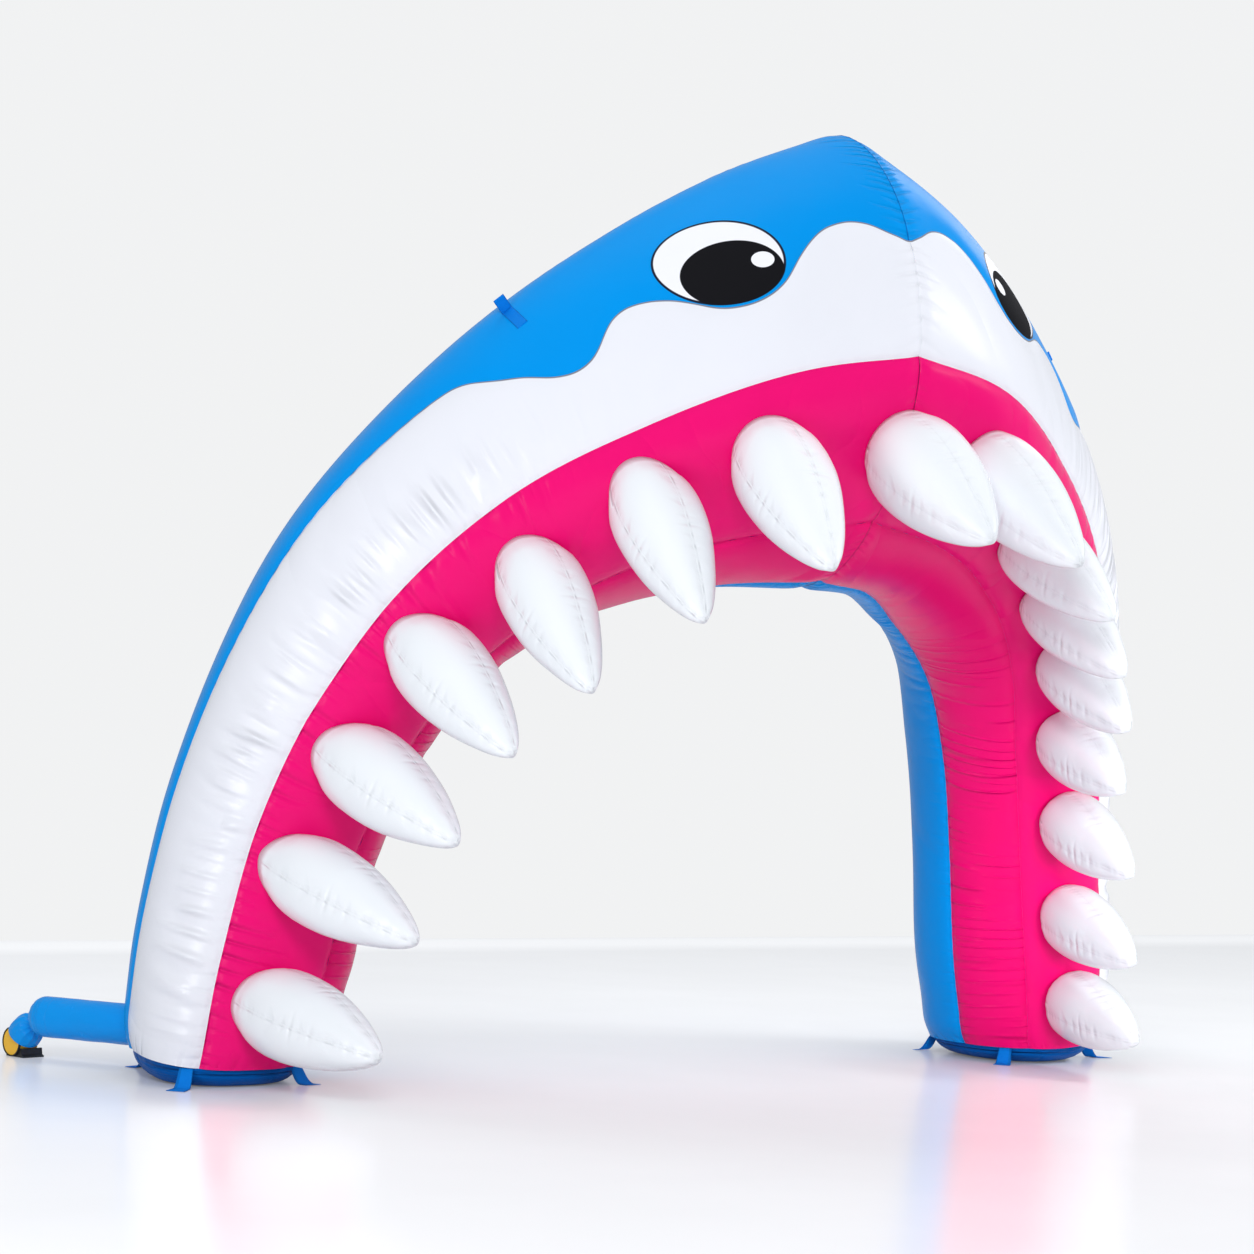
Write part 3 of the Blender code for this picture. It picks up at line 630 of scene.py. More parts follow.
# Where each foot's rim stands up, is drawn in and bulges: degrees, metres.
footLook = {
    -1: {"lift": (100.0, 0.036), "tuck": (114.0, 0.042), "tuckBehind": (-66.0, 0.042)},
    1: {"lift": (66.0, 0.025), "tuck": (66.0, 0.070), "bulge": (-114.0, 0.014)},
}
# rise: how far the foot seam stands over the cup's first rim; the rest are shares of the way.
footRim = {"rise": 0.016, "liftTo": 0.06, "tuckTo": 0.045, "bulgeAt": 0.03}
cupDraw = {-1: 1.0, 1: 1.5}  # how far each cup's wall is drawn in


def footShare(angle, side, part):
    centre, size = footLook[side].get(part, (0.0, 0.0))
    return size * max(cos(radians(angle - centre)), 0.0) ** 2


def footLift(angle, side):
    return footRim["rise"] + footShare(angle, side, "lift")


def footTuck(angle, side):
    return footShare(angle, side, "tuck") + footShare(angle, side, "tuckBehind")


# Where the loose folds end: round the inner bend, towards the nose and at the foot.
looseLook = {"bend": 0.60, "over": 0.26, "end": 0.78, "foot": 0.45}
troughLook = {
    "drift": (1.6, 1.8), "shake": (5.0, 4.0, 0.25), "strength": (0.60, 0.80, 1.7),
    "wander": (0.5, 2.3), "weakest": 0.1, "sharp": 2.2,
}


def softTrough(along, away, look, seed):
    # Folds in a band beside a seam, narrow in the valley and broad between.
    pitch, centre, spread, depth, slant = look
    alongScale, awayScale, shake = troughLook["shake"]
    driftScale, drift = troughLook["drift"]
    drift *= noiseAt(along * driftScale, seed)
    drift += noiseAt(along * alongScale, away * awayScale, seed) * shake
    phase = (along + away * slant) / pitch + drift
    mean, change, scale = troughLook["strength"]
    strength = mean + change * noiseAt(round(phase) * scale, seed + 4.0)
    strength = max(strength, troughLook["weakest"])
    wander, scale = troughLook["wander"]
    shift = centre * (1 + wander * noiseAt(round(phase) * scale, seed + 9.0))
    valley = (0.5 + 0.5 * cos(2 * pi * phase)) ** troughLook["sharp"]
    return depth * strength * valley * hill(away - shift, spread)


def makePanel(panel, side):
    look = panelLooks[panel]
    columns = look["columns"]
    rows = panelRowsOf(panel, columns)
    seed = 20.0 + 7.3 * side + len(panel) * 3.1
    waveEdge = {"face": "high", "back": "low"}.get(panel)

    def insetAt(section, angle, one, two, run):
        place, away = section.place, min(one, two)
        sewn = 1.0
        if waveEdge == ("low" if one < two else "high"):  # flat where the wavy edge is printed
            sewn = 1 - seam["flat"] * limit((place - seam["flatFrom"]) / seam["flatOver"])
        inset = sewn * seam["dip"] * hill(away, seam["spread"])
        ripple = cos(2 * pi * run / seam["pitch"] + 3 * noiseAt(run * 3, seed))
        inset *= 1 + seam["ripple"] * ripple
        settled = 1 - hill(away, seam["settle"])
        fromSeam = two if look["troughFrom"] == "high" else one
        trough = softTrough(run, fromSeam, look["trough"], seed)
        if panel == "back":  # only round the tight inner bend
            trough *= max(1 - ((place - looseLook["bend"]) / looseLook["over"]) ** 2, 0.0)
        else:  # the legs are loose and the nose is drawn smooth
            loose = max((looseLook["end"] - place) / looseLook["over"], 0.0)
            trough *= min(loose, run / looseLook["foot"], 1.0)
        inset += settled * trough - seam["swell"] * (1 - hill(away, seam["swellFrom"]))
        scale = seam["unevenScale"]
        inset += seam["uneven"] * noiseAt(run * scale, one * scale, seed) * settled
        nose = abs(section.spot(angle).x)
        inset += look["noseDip"] * hill(nose, seam["noseSpread"])
        inset += footTuck(angle, side) * max(1 - place / footRim["tuckTo"], 0.0) ** 2
        bulgeAt = footRim["bulgeAt"]
        return inset - footShare(angle, side, "bulge") * hill(place - bulgeAt, bulgeAt)

    def spotAt(across, along):
        section, angles, widths, run = rows[round(along * panelRows)]
        column = round(across * columns)
        angle, one, two = angles[column], widths[column], widths[-1] - widths[column]
        spot = section.spot(angle, insetAt(section, angle, one, two, run))
        if section.place == 1.0:
            spot.x = seam["gap"] / 2
        if section.place < footRim["liftTo"]:
            spot.z += footLift(angle, side) * (1 - section.place / footRim["liftTo"]) ** 2
        return inFrame(spot, side), (one, run), (one, two)

    bm = clothGrid(columns, panelRows, spotAt)
    middles = [inFrame(row[0].middle, side) for row in rows[::10]]

    def outFrom(spot):
        return min(middles, key=lambda middle: (middle - spot).length_squared)

    name = f"{panel}_cloth_{endOf(side)}"
    piece = finishPiece(bm, name, cloths[look["cloth"]], outFrom)
    dress(piece, name.replace("cloth", "panel"))
    return piece


panels = [makePanel(panel, side) for panel in panelLooks for side in (-1, 1)]
print("skin panels sewn")


def treeOver(pieces):
    vertices, faces = [], []
    for piece in pieces:
        first = len(vertices)
        vertices += [vertex.co.copy() for vertex in piece.data.vertices]
        faces += [[first + index for index in face.vertices] for face in piece.data.polygons]
    return BVHTree.FromPolygons(vertices, faces)


skinTree = treeOver(panels)


def onSkin(start, way):  # where a line meets the skin, stepping aside from the open seams
    for step in range(9):
        aside = Vector((0.0011, 0.0007, 0.0013)) * step
        hit = skinTree.ray_cast(start + aside, way)[0]
        if hit is not None:
            return hit
    raise ValueError("the line misses the skin")


toothColumns = ("name", "side", "place", "angle", "splay", "dip", "radius", "length")
teeth = (
    ("tooth_left_1", -1, 0.087, -1.5, -10.0, 9.5, 0.185, 0.80),
    ("tooth_left_2", -1, 0.226, 2.0, -15.0, 17.5, 0.180, 0.80),
    ("tooth_left_3", -1, 0.358, -1.5, -11.0, 23.0, 0.185, 0.80),
    ("tooth_left_4", -1, 0.498, 0.0, -6.0, 31.5, 0.183, 0.80),
    ("tooth_left_5", -1, 0.625, -6.5, 4.5, 38.0, 0.176, 0.80),
    ("tooth_left_6", -1, 0.742, -6.5, 7.0, 40.0, 0.178, 0.80),
    ("tooth_left_7", -1, 0.850, -12.0, 9.0, 36.5, 0.190, 0.80),
    ("tooth_middle", 1, 1.000, -28.5, 0.0, 31.0, 0.205, 0.74),
    ("tooth_right_8", 1, 0.879, -15.0, 2.5, 33.5, 0.188, 0.76),
    ("tooth_right_7", 1, 0.758, -16.5, 0.0, 29.0, 0.165, 0.72),
    ("tooth_right_6", 1, 0.646, -14.0, -5.0, 28.5, 0.162, 0.72),
    ("tooth_right_5", 1, 0.537, -9.0, -11.0, 25.5, 0.162, 0.72),
    ("tooth_right_4", 1, 0.421, -7.5, -14.0, 19.0, 0.160, 0.72),
    ("tooth_right_3", 1, 0.304, -4.5, -10.5, 18.5, 0.158, 0.72),
    ("tooth_right_2", 1, 0.183, -4.5, -10.0, 14.5, 0.158, 0.72),
    ("tooth_right_1", 1, 0.079, -1.5, -12.0, 10.0, 0.160, 0.72),
)
# The pinch, billow, ripple and swell of a tooth are in metres.
toothLook = {
    "spacing": 0.92, "gores": 4, "turn": {-1: 6.0, 1: -14.0}, "seamDepth": 0.0022,
    "seamSpread": 0.012, "billow": 0.004, "ripple": 0.0020, "rippleReach": 0.05, "ripples": 21,
    "swell": 0.0025, "castFrom": 0.3, "tucked": 0.001, "blend": 0.16, "tip": (0.97, 0.02),
    "cloth": "tooth", "slot": "tooth_cloth", "thickness": 0.001, "grid": (60, 46),
    "profile": ((0.00, 0.83), (0.09, 0.96), (0.22, 1.00), (0.38, 0.95), (0.56, 0.80), (0.74, 0.57),
                (0.90, 0.29), (1.00, 0.00)),
}


def ringRound(axis):  # the way out from an axis, by the turn round it
    sideways = axis.cross(upwards).normalized()
    upright = sideways.cross(axis)
    return lambda turn: sideways * cos(turn) + upright * sin(turn)


def rise(value, over):  # up to 1 over so many metres, or so much of the way
    return min(value / over, 1.0)


def sewTube(name, node, look, spotAt, inside):
    bm = clothGrid(*look["grid"], spotAt)
    piece = finishPiece(bm, name, cloths[look["cloth"]], lambda spot: inside, merge=0.0004)
    thicken(piece, look["thickness"])
    dress(piece, node)
    return piece


def makeTooth(row, look=toothLook):
    tooth = dict(zip(toothColumns, row))
    side, radius, length = tooth["side"], tooth["radius"], tooth["length"]
    base = inFrame(Section(tooth["place"]).spot(tooth["angle"]), side)
    splay, dip = radians(tooth["splay"]), radians(tooth["dip"])
    forth = -cos(splay) * cos(dip)
    axis = Vector((side * sin(splay) * cos(dip), forth, -sin(dip)))
    wayOut = ringRound(axis)
    seed = 3.7 * tooth["place"] + 11 * side
    gore = 2 * pi / look["gores"]
    first = radians(look["turn"][side])
    rootRadius = look["profile"][0][1]
    roots = {}

    def rootAt(turn):
        key = round(turn, 5)
        if key not in roots:
            start = base + wayOut(turn) * radius * rootRadius + axis * look["castFrom"]
            roots[key] = (onSkin(start, -axis) - base).dot(axis) - look["tucked"]
        return roots[key]

    def spotAt(across, along):
        turn = 2 * pi * across
        share = along ** look["spacing"]
        wide = radius * max(curveAt(look["profile"], share), 0.0)
        away = abs((turn - first + gore / 2) % gore - gore / 2) * wide
        pinched = look["seamDepth"] * hill(away, look["seamSpread"])
        pinched *= rise(wide, 0.05) * rise(share, 0.06)
        billow = look["billow"] * cos(look["gores"] * (turn - first))
        billow *= -rise(wide, 0.1) * rise(share, 0.1)
        ripple = look["ripple"] * exp(-share * length / look["rippleReach"])
        ripple *= cos(turn * look["ripples"] + 4 * noiseAt(turn, seed))
        x, y = cos(turn) * 1.2, sin(turn) * 1.2
        swell = look["swell"] * noiseAt(share * 4, x, y + seed)
        wide = wide - pinched + billow - ripple * rise(share, 0.02) + swell * rise(wide, 0.1)
        drawnFrom, drawn = look["tip"]
        blend = max(1 - share / look["blend"], 0.0) ** 2
        reach = length * share * (1 - drawn * (share > drawnFrom)) + rootAt(turn) * blend
        spot = base + wayOut(turn) * max(wide, 0) + axis * reach
        return spot, (turn * radius, share * length), (away, 1.0)

    name = tooth["name"].replace("tooth", "tooth_cloth")
    piece = sewTube(name, tooth["name"], look, spotAt, base + axis * 0.25)
    round(6.4 * radius, 2)
    round(length * 1.06, 2)
    round(4.77 * radius * length, 2)


for row in teeth:
    makeTooth(row)
print("teeth sewn on")

# wall: height and how far it is drawn in, from the foot seam down to the base.
cupLook = {
    "cloth": "ground", "slot": "ground_pvc", "thickness": 0.003, "grid": (140, 30),
    "baseRows": 4, "pucker": 0.0022, "puckers": 26, "puckerReach": 0.02, "liftPower": 0.6,
    "uneven": 0.0025, "metres": (2.6, 0.5), "inside": 0.05,  # metres: the cloth across and down
    "wall": ((0.0595, 0.000), (0.047, 0.003), (0.034, 0.010), (0.022, 0.022), (0.011, 0.040),
             (0.004, 0.060), (0.0012, 0.080), (0.0010, 0.110)),
}


def makeCup(side, look=cupLook):
    foot = Section(0.0)
    middle = Vector((foot.middle.x, foot.middle.y, 0.0))
    wall = look["wall"]
    top = wall[0][0]

    def spotAt(across, down):
        angle = 360.0 * across
        tuck = seam["dip"] + footTuck(angle, side)
        position = down * (len(wall) - 1 + look["baseRows"])
        if position < len(wall) - 1:
            row = int(position)
            t = position - row
            height, drawn = (one + (two - one) * t for one, two in zip(wall[row], wall[row + 1]))
            turns = radians(angle) * look["puckers"]
            pucker = look["pucker"] * cos(turns + 3 * noiseAt(across * 9, side))
            pucker *= exp(-(top - height) / look["puckerReach"])
            rim = foot.spot(angle, tuck + drawn * cupDraw[side] + pucker * rise(down, 0.04))
            height += footLift(angle, side) * (height / top) ** look["liftPower"]
            uneven = look["uneven"] * noiseAt(across * 14, side + 3.0)
            height += uneven * rise(height, 0.03) * (row > 0 or t > 0)
        else:
            share = 1 - (position - len(wall) + 1) / look["baseRows"]
            rim = foot.spot(angle, tuck + wall[-1][1] * cupDraw[side])
            rim = middle + (Vector((rim.x, rim.y, 0.0)) - middle) * share
            height = wall[-1][0]
        spot = Vector((rim.x, rim.y, max(height, 0.0)))
        acrossMetres, downMetres = look["metres"]
        cloth = (across * acrossMetres, down * downMetres)
        return inFrame(spot, side), cloth, (abs(top - height), 1.0)

    inside = inFrame(Vector((foot.middle.x, 0.0, look["inside"])), side)
    end = endOf(side)
    piece = sewTube(f"ground_cup_cloth_{end}", f"ground_cup_{end}", look, spotAt, inside)


for side in (-1, 1):
    makeCup(side)
print("foot cups made")

webbingLook = {
    "width": 0.050, "rib": 0.0022, "ribDepth": 0.0004, "toneScale": 40.0, "selvedge": 0.003,
    "grid": (10, 40), "colour": (0.000, 0.200, 0.740), "second": (0.000, 0.230, 0.800),
}


def webbingFinish(name, look=webbingLook):
    finish = Finish(name, Roughness=0.55, Specular_IOR_Level=0.15)
    across, along = finish.clothAxes()
    ribs = (along * (2 * pi / look["rib"])).math("SINE")
    cross = (across * (2 * pi / look["rib"])).math("SINE")
    half = look["width"] / 2
    edge = abs(across - half)
    scale = look["toneScale"]
    tone = finish.flatNoise(across * scale, along * scale, 3.0)
    shade = finish.mixColours(tone, look["colour"], look["second"])
    selvedge = (1.0 - edge.below(half - look["selvedge"], 0.0006)) * 0.5
    dark = tuple(value * 0.55 for value in look["colour"])
    finish.paint(finish.mixColours(selvedge, shade, dark))
    finish.roughness(0.56 + tone * 0.14)
    depth = look["ribDepth"]
    finish.relief(ribs * depth * 0.5, cross * ribs * depth * 0.5)
    return finish.material


webbingCloth = webbingFinish("blue webbing")

floorLoops = (  # name, side, degrees, reach, twist in degrees
    ("floor_loop_left_front_out", -1, 37.5, 0.135, 0.0),
    ("floor_loop_left_front_in", -1, -43.0, 0.085, 30.0),
    ("floor_loop_left_back_out", -1, 153.0, 0.110, 0.0),
    ("floor_loop_left_back_in", -1, -135.0, 0.085, 0.0),
    ("floor_loop_right_front_out", 1, 63.0, 0.118, 40.0),
    ("floor_loop_right_front_in", 1, -46.5, 0.090, 0.0),
    ("floor_loop_right_back_out", 1, 153.0, 0.085, 0.0),
    ("floor_loop_right_back_in", 1, -135.0, 0.075, -40.0),
)


def pathReader(path):
    # Reads a smooth line through the points by its share of the length.
    runs = [0.0]
    for one, two in zip(path, path[1:]):
        runs.append(runs[-1] + (two - one).length)

    def at(share):
        run = share * runs[-1]
        row = 0
        while row < len(path) - 2 and run > runs[row + 1]:
            row += 1
        t = (run - runs[row]) / (runs[row + 1] - runs[row])
        low, high = path[row], path[row + 1]
        before = path[row - 1] if row else low * 2 - high
        after = path[row + 2] if row + 2 < len(path) else high * 2 - low
        return Vector([smoothValue(*four, t) for four in zip(before, low, high, after)])

    return at, runs[-1]


def makeStrap(name, node, path, across, width, thickness, flare=0.0, lift=None):
    at, length = pathReader(path)

    def spotAt(side, along):
        spot = at(along) + across * width * (side - 0.5) * (1 + flare * along)
        if lift is not None:
            spot += lift(side, along)
        return spot, (side * width, along * length), (1.0, 1.0)

    piece = finishPiece(clothGrid(*webbingLook["grid"], spotAt), name, webbingCloth)
    thicken(piece, thickness, offset=0.0)
    dress(piece, node)
    round(width * (1 + flare / 2), 3)


# path: distance from the foot seam and height; the loops spread towards the floor.
loopLook = {
    "width": 0.058, "thickness": 0.0018, "flare": 0.35, "turn": 4.0, "clear": 0.0004,
    "path": ((0.001, 0.057), (0.010, 0.046), (0.020, 0.031), (0.034, 0.014), (0.050, 0.004),
             (0.066, 0.0022)),
    "lying": 0.0022, "lyingFrom": 0.02, "raisedFrom": 0.004, "raisedOver": 0.053,
}


def makeFloorLoop(name, side, angle, reach, twist, look=loopLook):
    foot, turn = Section(0.0), look["turn"]
    lift = footLift(angle, side)
    one, two = (foot.spot(angle + aside, seam["dip"]) for aside in (turn, -turn))
    along = (one - two).normalized()
    outwards = along.cross(upwards).normalized()
    start = foot.spot(angle, seam["dip"] + footTuck(angle, side))
    if outwards.dot(start - foot.middle) < 0:
        outwards = -outwards
    path = []
    lying = [(distance, look["lying"]) for distance in (reach - look["lyingFrom"], reach)]
    for distance, height in (*look["path"], *lying):
        point = start + outwards * distance
        raised = lift * max((height - look["raisedFrom"]) / look["raisedOver"], 0.0)
        spot = Vector((point.x, point.y, height + look["clear"] + raised))
        path.append(inFrame(spot, side))
    along = Matrix.Rotation(radians(twist), 3, "Z") @ along
    across = Vector((side * along.x, along.y, 0.0)).normalized()
    size = [look[key] for key in ("width", "thickness", "flare")]
    makeStrap(name.replace("loop", "strap"), name, path, across, *size)


for row in floorLoops:
    makeFloorLoop(*row)

# loop: share of half the thickness to either side, share of the height.
guyLook = {
    "place": 0.703, "angle": 86.0, "apart": (0.02, 4), "height": 0.073, "thick": 0.005,
    "loop": ((-0.6, 0.0), (-1.0, 0.25), (-1.0, 0.6), (-1.0, 0.9), (0.0, 1.0), (1.0, 0.9),
             (1.0, 0.6), (1.0, 0.25), (0.6, 0.0)),
    "tail": (0.0, 0.12, 0.25, 0.4, 0.55, 0.7, 0.85, 1.0), "tailLength": 0.145, "clear": 0.0014,
    "gap": 0.001, "loopThick": 0.0016, "tailThick": 0.0018,
}


def makeGuyLoop(side, look=guyLook):
    end, width = endOf(side), webbingLook["width"]
    place, angle, gap = look["place"], look["angle"], look["gap"]
    step, turn = look["apart"]
    section = Section(place)
    foot = section.spot(angle)
    along = (Section(place + step).spot(angle) - Section(place - step).spot(angle)).normalized()
    around = (section.spot(angle - turn) - section.spot(angle + turn)).normalized()
    out = along.cross(around).normalized()
    if out.dot(foot - section.middle) < 0:
        out = -out
    around = out.cross(along).normalized()
    if around.dot(ahead) < 0:
        around = -around
    along, around, out = (Vector((side * way.x, way.y, way.z)) for way in (along, around, out))
    foot = inFrame(foot, side)
    middle = look["thick"] / 2
    half = middle - gap
    loop = []
    for sideways, high in look["loop"]:
        up = out * (look["height"] * high + gap)
        loop.append(foot - around * (middle - half * sideways) + up)
    makeStrap(f"guy_strap_{end}", f"guy_loop_{end}", loop, along, width, look["loopThick"])

    path = [foot + around * (gap + look["tailLength"] * share) for share in look["tail"]]
    at, length = pathReader(path)

    def lift(across, share):  # down on the skin
        spot = at(share) + along * width * (across - 0.5)
        return onSkin(spot + out * 0.1, -out) + out * look["clear"] - spot

    size = (width, look["tailThick"])
    makeStrap(f"guy_tail_{end}", f"guy_patch_{end}", path, along, *size, lift=lift)


for side in (-1, 1):
    makeGuyLoop(side)
print("webbing sewn on")

# The air sleeve: its first part is straight and the rest is its dome.
sleeveLook = {
    "start": (-2.287, 0.366, 0.184), "end": (-2.534, 0.722, 0.186), "radius": 0.088, "dome": 0.8,
    "straight": 0.76, "castFrom": 0.3, "tucked": 0.001, "blend": (1.6, 1.5), "pucker": 0.0020,
    "puckers": 17, "puckerReach": 0.03, "uneven": 0.0015, "gather": 0.035, "gathers": 13,
    "cloth": "sleeve", "slot": "blue_cloth", "thickness": 0.001, "grid": (64, 60),
}


def makeSleeve(look=sleeveLook):
    start, end = (Vector(look[at]) + midFloor for at in ("start", "end"))
    axis = (end - start).normalized()
    wayOut = ringRound(axis)
    radius, length = look["radius"], (end - start).length
    straight, tucked = look["straight"], look["tucked"]
    blend, blendPower = look["blend"]

    def spotAt(across, along):
        turn = 2 * pi * across
        way = wayOut(turn)
        if along <= straight:
            share = along / straight
            reach = length * share
            root = start + way * (radius - tucked) + axis * look["castFrom"]
            onLeg = (onSkin(root, -axis) - start).dot(axis) - tucked
            reach += onLeg * max(1 - share * blend, 0.0) ** blendPower
            pucker = look["pucker"] * cos(turn * look["puckers"])
            pucker *= exp(-share * length / look["puckerReach"])
            uneven = look["uneven"] * noiseAt(share * 5, cos(turn), sin(turn))
            wide = radius + (pucker * rise(share, 0.02) + uneven)
        else:
            bulge = pi / 2 * (along - straight) / (1 - straight)
            reach = length + radius * look["dome"] * sin(bulge)
            gather = look["gather"] * sin(bulge) ** 2
            wide = radius * cos(bulge) * (1 + gather * cos(turn * look["gathers"]))
        wide = max(wide - look["uneven"], 0.0)
        spot = start + axis * reach + way * wide
        return spot, (turn * radius, reach), (abs(reach - length), 1.0)

    piece = sewTube("air_sleeve", "sleeve", look, spotAt, start + axis * 0.2)


blowerLook = {
    "spot": (-2.628, 0.888), "turn": 75.0, "height": 0.064, "behindFace": 0.049, "neckAngle": 48.0,
    "neckDistance": 0.038,
}
# profile, fold: share of the way from the sleeve to the blower, and metres.
neckLook = {
    "folds": 13, "foldShare": 0.8, "uneven": 0.0012, "skin": 0.0008, "metres": (0.07, 0.17),
    "tieIn": 0.84, "bend": 0.5,
    "cloth": "sleeve", "slot": "blue_cloth", "thickness": 0.0012, "grid": (104, 44),
    "profile": ((0.00, 0.018), (0.12, 0.038), (0.30, 0.060), (0.52, 0.069), (0.76, 0.0735),
                (1.00, 0.0737)),
    "fold": ((0.00, 0.0042), (0.12, 0.0062), (0.30, 0.0045), (0.52, 0.0027), (0.76, 0.0014),
             (1.00, 0.0)),
}


def makeNeck(look=neckLook):
    turn = radians(blowerLook["turn"])
    faces = Vector((-sin(turn), -cos(turn), 0.0))
    basis = Matrix((upwards.cross(faces), upwards, faces)).transposed().to_4x4()
    place = Matrix.Translation(Vector((*blowerLook["spot"], 0.0)) + midFloor) @ basis
    angle = radians(blowerLook["neckAngle"])
    outlet = Vector((cos(angle), sin(angle), 0.0))
    drum = Vector((0.0, blowerLook["height"], -blowerLook["behindFace"]))
    rim = place @ (outlet * blowerLook["neckDistance"] + drum)
    outlet = place.to_3x3() @ outlet
    tie = Vector(sleeveLook["end"]) + midFloor
    away = (rim - tie).normalized()
    tie += away * (sleeveLook["radius"] * look["tieIn"])
    bend = rim + outlet * (tie - rim).length * look["bend"]

    def spotAt(across, share):
        centre = tie.lerp(bend, share).lerp(bend.lerp(rim, share), share)
        axis = (bend - tie).lerp(rim - bend, share).normalized()
        turn = 2 * pi * across
        x, y = cos(turn), sin(turn)
        phase = look["folds"] * turn + 1.5 * noiseAt(x, y, share * 2)
        fold = curveAt(look["fold"], share) * (1 - abs(sin(phase / 2)) * 2)
        wide = curveAt(look["profile"], share) + fold * look["foldShare"] - look["skin"]
        wide += look["uneven"] * noiseAt(x * 3, y * 3, share * 7)
        around, run = look["metres"]
        return centre + ringRound(axis)(turn) * wide, (turn * around, share * run), (1.0, 1.0)

    piece = sewTube("blower_neck", "neck", look, spotAt, tie.lerp(rim, 0.5))


makeSleeve()
makeNeck()
print("sleeve and neck made")

plasticLook = {"broadScale": 14.0, "scuffScale": (30.0, 30.0, 260.0), "scuffs": (0.63, 0.02),
               "worn": 0.35, "fineDepth": 0.0002, "broadDepth": 0.0003}


def plasticFinish(name, colour, second, roughness, grain, look=plasticLook):
    finish = Finish(name, Roughness=roughness)
    where, axes = finish.objectAxes()
    fine = finish.noise(where, grain, 3.0, 0.6)
    broad = finish.noise(where, look["broadScale"], 3.0)
    stretched = [axis * scale for axis, scale in zip(axes, look["scuffScale"])]
    scuffs = finish.noise(finish.point(*stretched), detail=4.0, rough=0.7)
    worn = (1.0 - scuffs.below(*look["scuffs"])) * look["worn"]
    shade = finish.mixColours(broad, colour, second)
    light = tuple(min(value * 1.4 + 0.04, 1.0) for value in colour)
    finish.paint(finish.mixColours(worn, shade, light))
    finish.roughness(roughness - 0.06 + fine * 0.12 + worn * 0.15)
    finish.relief((fine - 0.5) * look["fineDepth"], (broad - 0.5) * look["broadDepth"])
    return finish.material


blowerFinishes = (  # node, name, colour, second colour, roughness, grain
    ("blower_drum", "yellow housing", (0.86, 0.47, 0.02), (0.92, 0.53, 0.03), 0.34, 900.0),
    ("blower_rim", "black rim", (0.012, 0.012, 0.013), (0.02, 0.02, 0.021), 0.46, 700.0),
    ("blower_stand", "black steel stand", (0.014, 0.014, 0.015), (0.024, 0.024, 0.025), 0.42,
     600.0),
)
for node, *look in blowerFinishes:
    finish = plasticFinish(*look)
    for slot in bpy.data.objects[node].material_slots:
        slot.material = finish
print("blower finished")

studio = {
    "backShade": (0.985, 0.993, 1.0), "backLight": 0.895, "roomShade": (0.93, 0.96, 1.0),
    "roomLight": 0.50, "tones": "Standard",
}
# Painted light on the floor: it glows a little far off, along its back edge and clear of the feet,
# so that a painted shadow is left round the feet and the deeper shadows stay under them.
floorLook = {
    "shade": (0.855, 0.860, 0.880), "ahead": -25.0, "behind": 7.6, "half": 40.0, "patches": 0.8,
    "glow": 0.15, "farFrom": -2.3, "farOver": 6.0, "edgeGlow": 0.10, "edge": (0.4, 0.4, 0.25),
    "near": 0.155, "hole": 0.80,
}
cameraLook = {
    "at": (-7.34477, -11.86885, 1.62410),
    "right": (0.86611, -0.49851, 0.03671),
    "up": (-0.04292, -0.00100, 0.99908),
    "lens": 94.19,
}


def makeFloor(look=floorLook):
    finish = Finish("pale floor", Roughness=0.2, Specular_IOR_Level=0.31, Emission_Strength=1.0)
    where, axes = finish.objectAxes()
    broad = finish.noise(where, look["patches"], 3.0)
    lighter = tuple(value * 1.02 for value in look["shade"])
    finish.paint(finish.mixColours(broad, look["shade"], lighter))
    finish.roughness(0.17 + broad * 0.08)
    far = ((axes[1] - look["farFrom"]) / look["farOver"]).clamped()
    inside, wide, soft = look["edge"]
    edge = abs(axes[1] - look["behind"] + inside).below(wide, soft)
    # near is 1 clear of the feet and falls to 0 at each foot: a painted shadow round the feet
    near = 1.0
    for side in (-1, 1):
        middle = inFrame(Section(0.0).middle, side)
        apart = (axes[0] - middle.x) ** 2.0 + (axes[1] - middle.y) ** 2.0
        near = near - (apart * (-1.0 / look["hole"] ** 2)).math("EXPONENT")
    # painted light far off and along the back edge; the glow left out round the feet is painted
    # shadow
    glow = far * look["glow"] + edge * look["edgeGlow"] + near * look["near"]
    glow = glow * finish.add("LightPath")  # painted glow, seen straight on, and lights nothing
    finish.feed(finish.shader.inputs["Emission Color"], finish.point(glow, glow, glow))
    bm = bmesh.new()
    bmesh.ops.create_grid(bm, x_segments=1, y_segments=1, size=1.0)
    for vert in bm.verts:
        depth = look["behind"] if vert.co.y > 0 else look["ahead"]
        vert.co = (vert.co.x * look["half"], depth, 0.0)
    mesh = bpy.data.meshes.new("studio_floor")
    bm.to_mesh(mesh)
    bm.free()
    mesh.materials.append(finish.material)
    floor = bpy.data.objects.new("studio_floor", mesh)
    bpy.context.scene.collection.objects.link(floor)


makeFloor()
bpy.context.scene.view_settings.view_transform = studio["tones"]
world = bpy.data.worlds.new("studio light")
bpy.context.scene.world = world
world.use_nodes = True


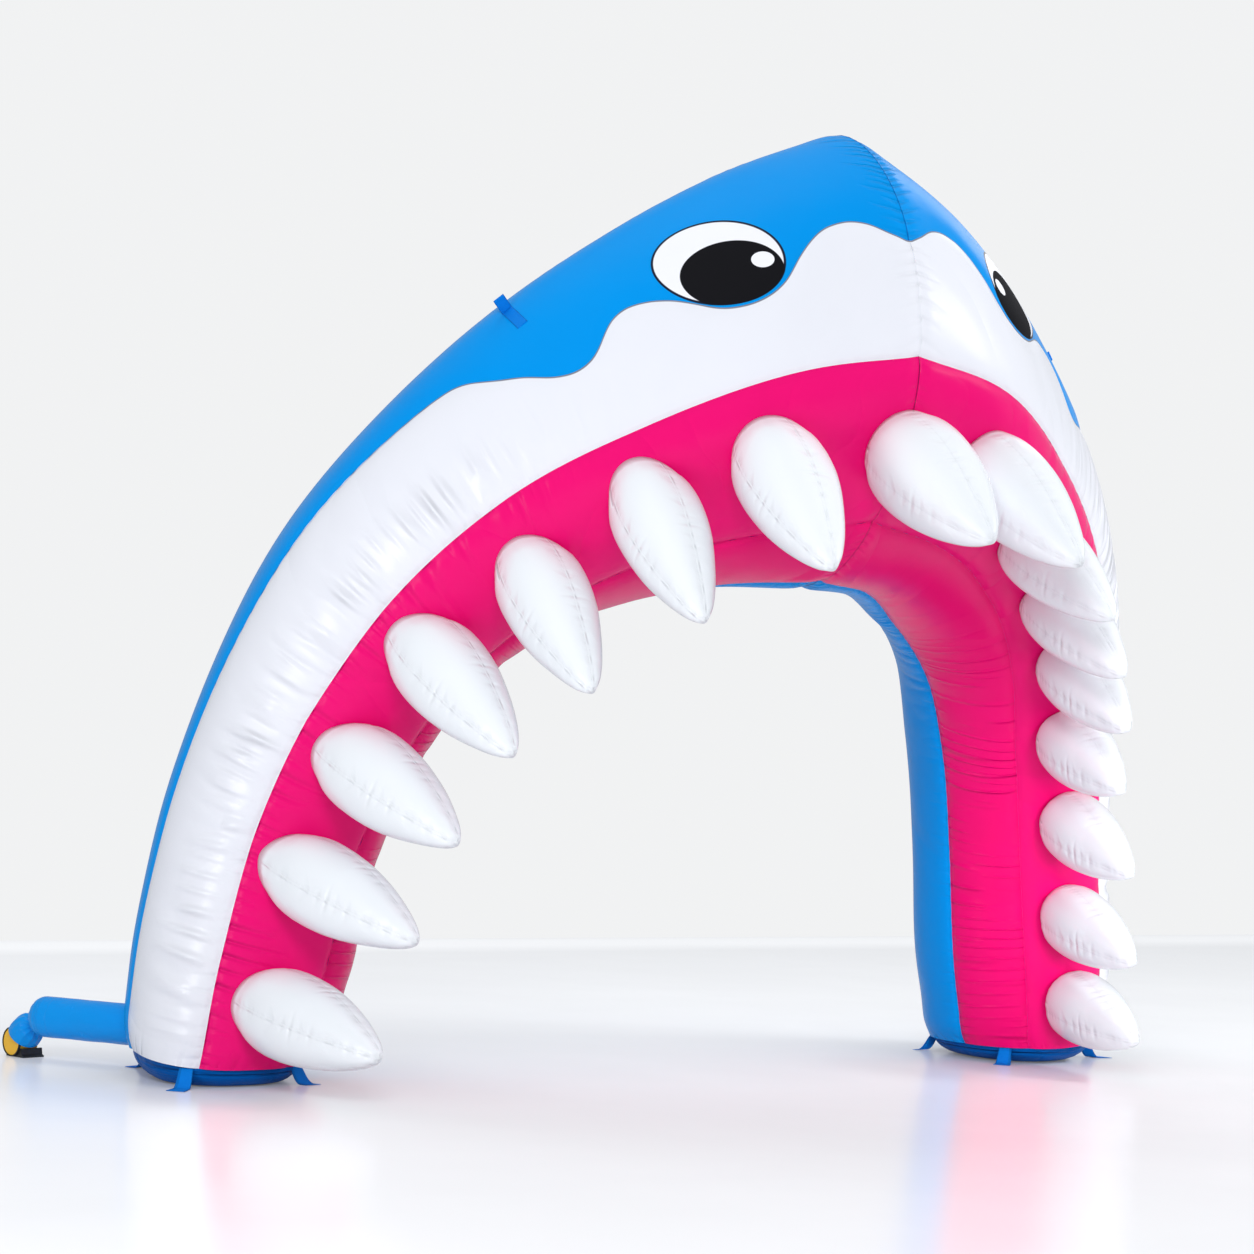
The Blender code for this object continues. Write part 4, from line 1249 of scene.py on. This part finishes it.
def makeWorld(nodes, links):  # a bright paper backdrop in a softer lit room
    room = nodes["Background"]
    backdrop, share = nodes.new("ShaderNodeBackground"), nodes.new("ShaderNodeMixShader")
    lamps = ((room, "roomShade", "roomLight"), (backdrop, "backShade", "backLight"))
    for node, shade, light in lamps:
        node.inputs[0].default_value = (*studio[shade], 1.0)
        node.inputs[1].default_value = studio[light]
    links.new(nodes.new("ShaderNodeLightPath").outputs["Is Camera Ray"], share.inputs[0])
    links.new(room.outputs[0], share.inputs[1])
    links.new(backdrop.outputs[0], share.inputs[2])
    links.new(share.outputs[0], nodes["World Output"].inputs[0])


makeWorld(world.node_tree.nodes, world.node_tree.links)

softBoxes = (  # name, place, aim, width, height, spread, watts, whether it shows in gloss
    ("front key", (-6.3, -9.4, 5.6), (0.0, 0.0, 1.8), 3.6, 2.2, 180, 510.0, False),
    ("inner fill", (0.3, -6.8, 0.9), (1.95, 0.0, 0.9), 1.6, 1.6, 28, 8.0, False),
    ("left strip", (-8.7, -2.9, 1.5), (-2.0, -0.4, 1.3), 1.2, 2.8, 180, 100.0, True),
    ("right side", (8.0, -3.5, 5.5), (0.5, 0.0, 2.0), 3.0, 1.8, 180, 340.0, False),
    ("right strip", (7.0, -4.5, 6.0), (0.5, -1.5, 3.0), 1.2, 2.2, 180, 60.0, True),
    ("rim strip", (4.6, 2.3, 5.9), (0.2, -1.5, 3.7), 1.4, 2.4, 180, 13.0, True),
    ("overhead", (0.0, 1.0, 9.0), (0.0, 0.0, 1.5), 6.0, 3.6, 180, 165.0, False),
)


def makeSoftBox(name, at, aim, width, height, spread, watts, shine):
    light = bpy.data.lights.new(name, "AREA")
    light.shape, light.size, light.size_y = "RECTANGLE", width, height
    light.energy, light.spread = watts, radians(spread)
    lamp = bpy.data.objects.new(name, light)
    lamp.location = at
    lamp.visible_glossy = shine
    lamp.rotation_euler = (Vector(aim) - Vector(at)).to_track_quat("-Z", "Y").to_euler()
    bpy.context.scene.collection.objects.link(lamp)


for row in softBoxes:
    makeSoftBox(*row)


def makeCamera():
    lens = bpy.data.cameras.new("camera")
    lens.sensor_width, lens.lens = 36.0, cameraLook["lens"]
    camera = bpy.data.objects.new("camera", lens)
    right, up = Vector(cameraLook["right"]).normalized(), Vector(cameraLook["up"])
    back = right.cross(up).normalized()
    up = back.cross(right)
    turn = Matrix((right, up, back)).transposed().to_4x4()
    camera.matrix_world = Matrix.Translation(cameraLook["at"]) @ turn
    bpy.context.scene.collection.objects.link(camera)
    bpy.context.scene.camera = camera


makeCamera()
print("floor, light and camera ready")
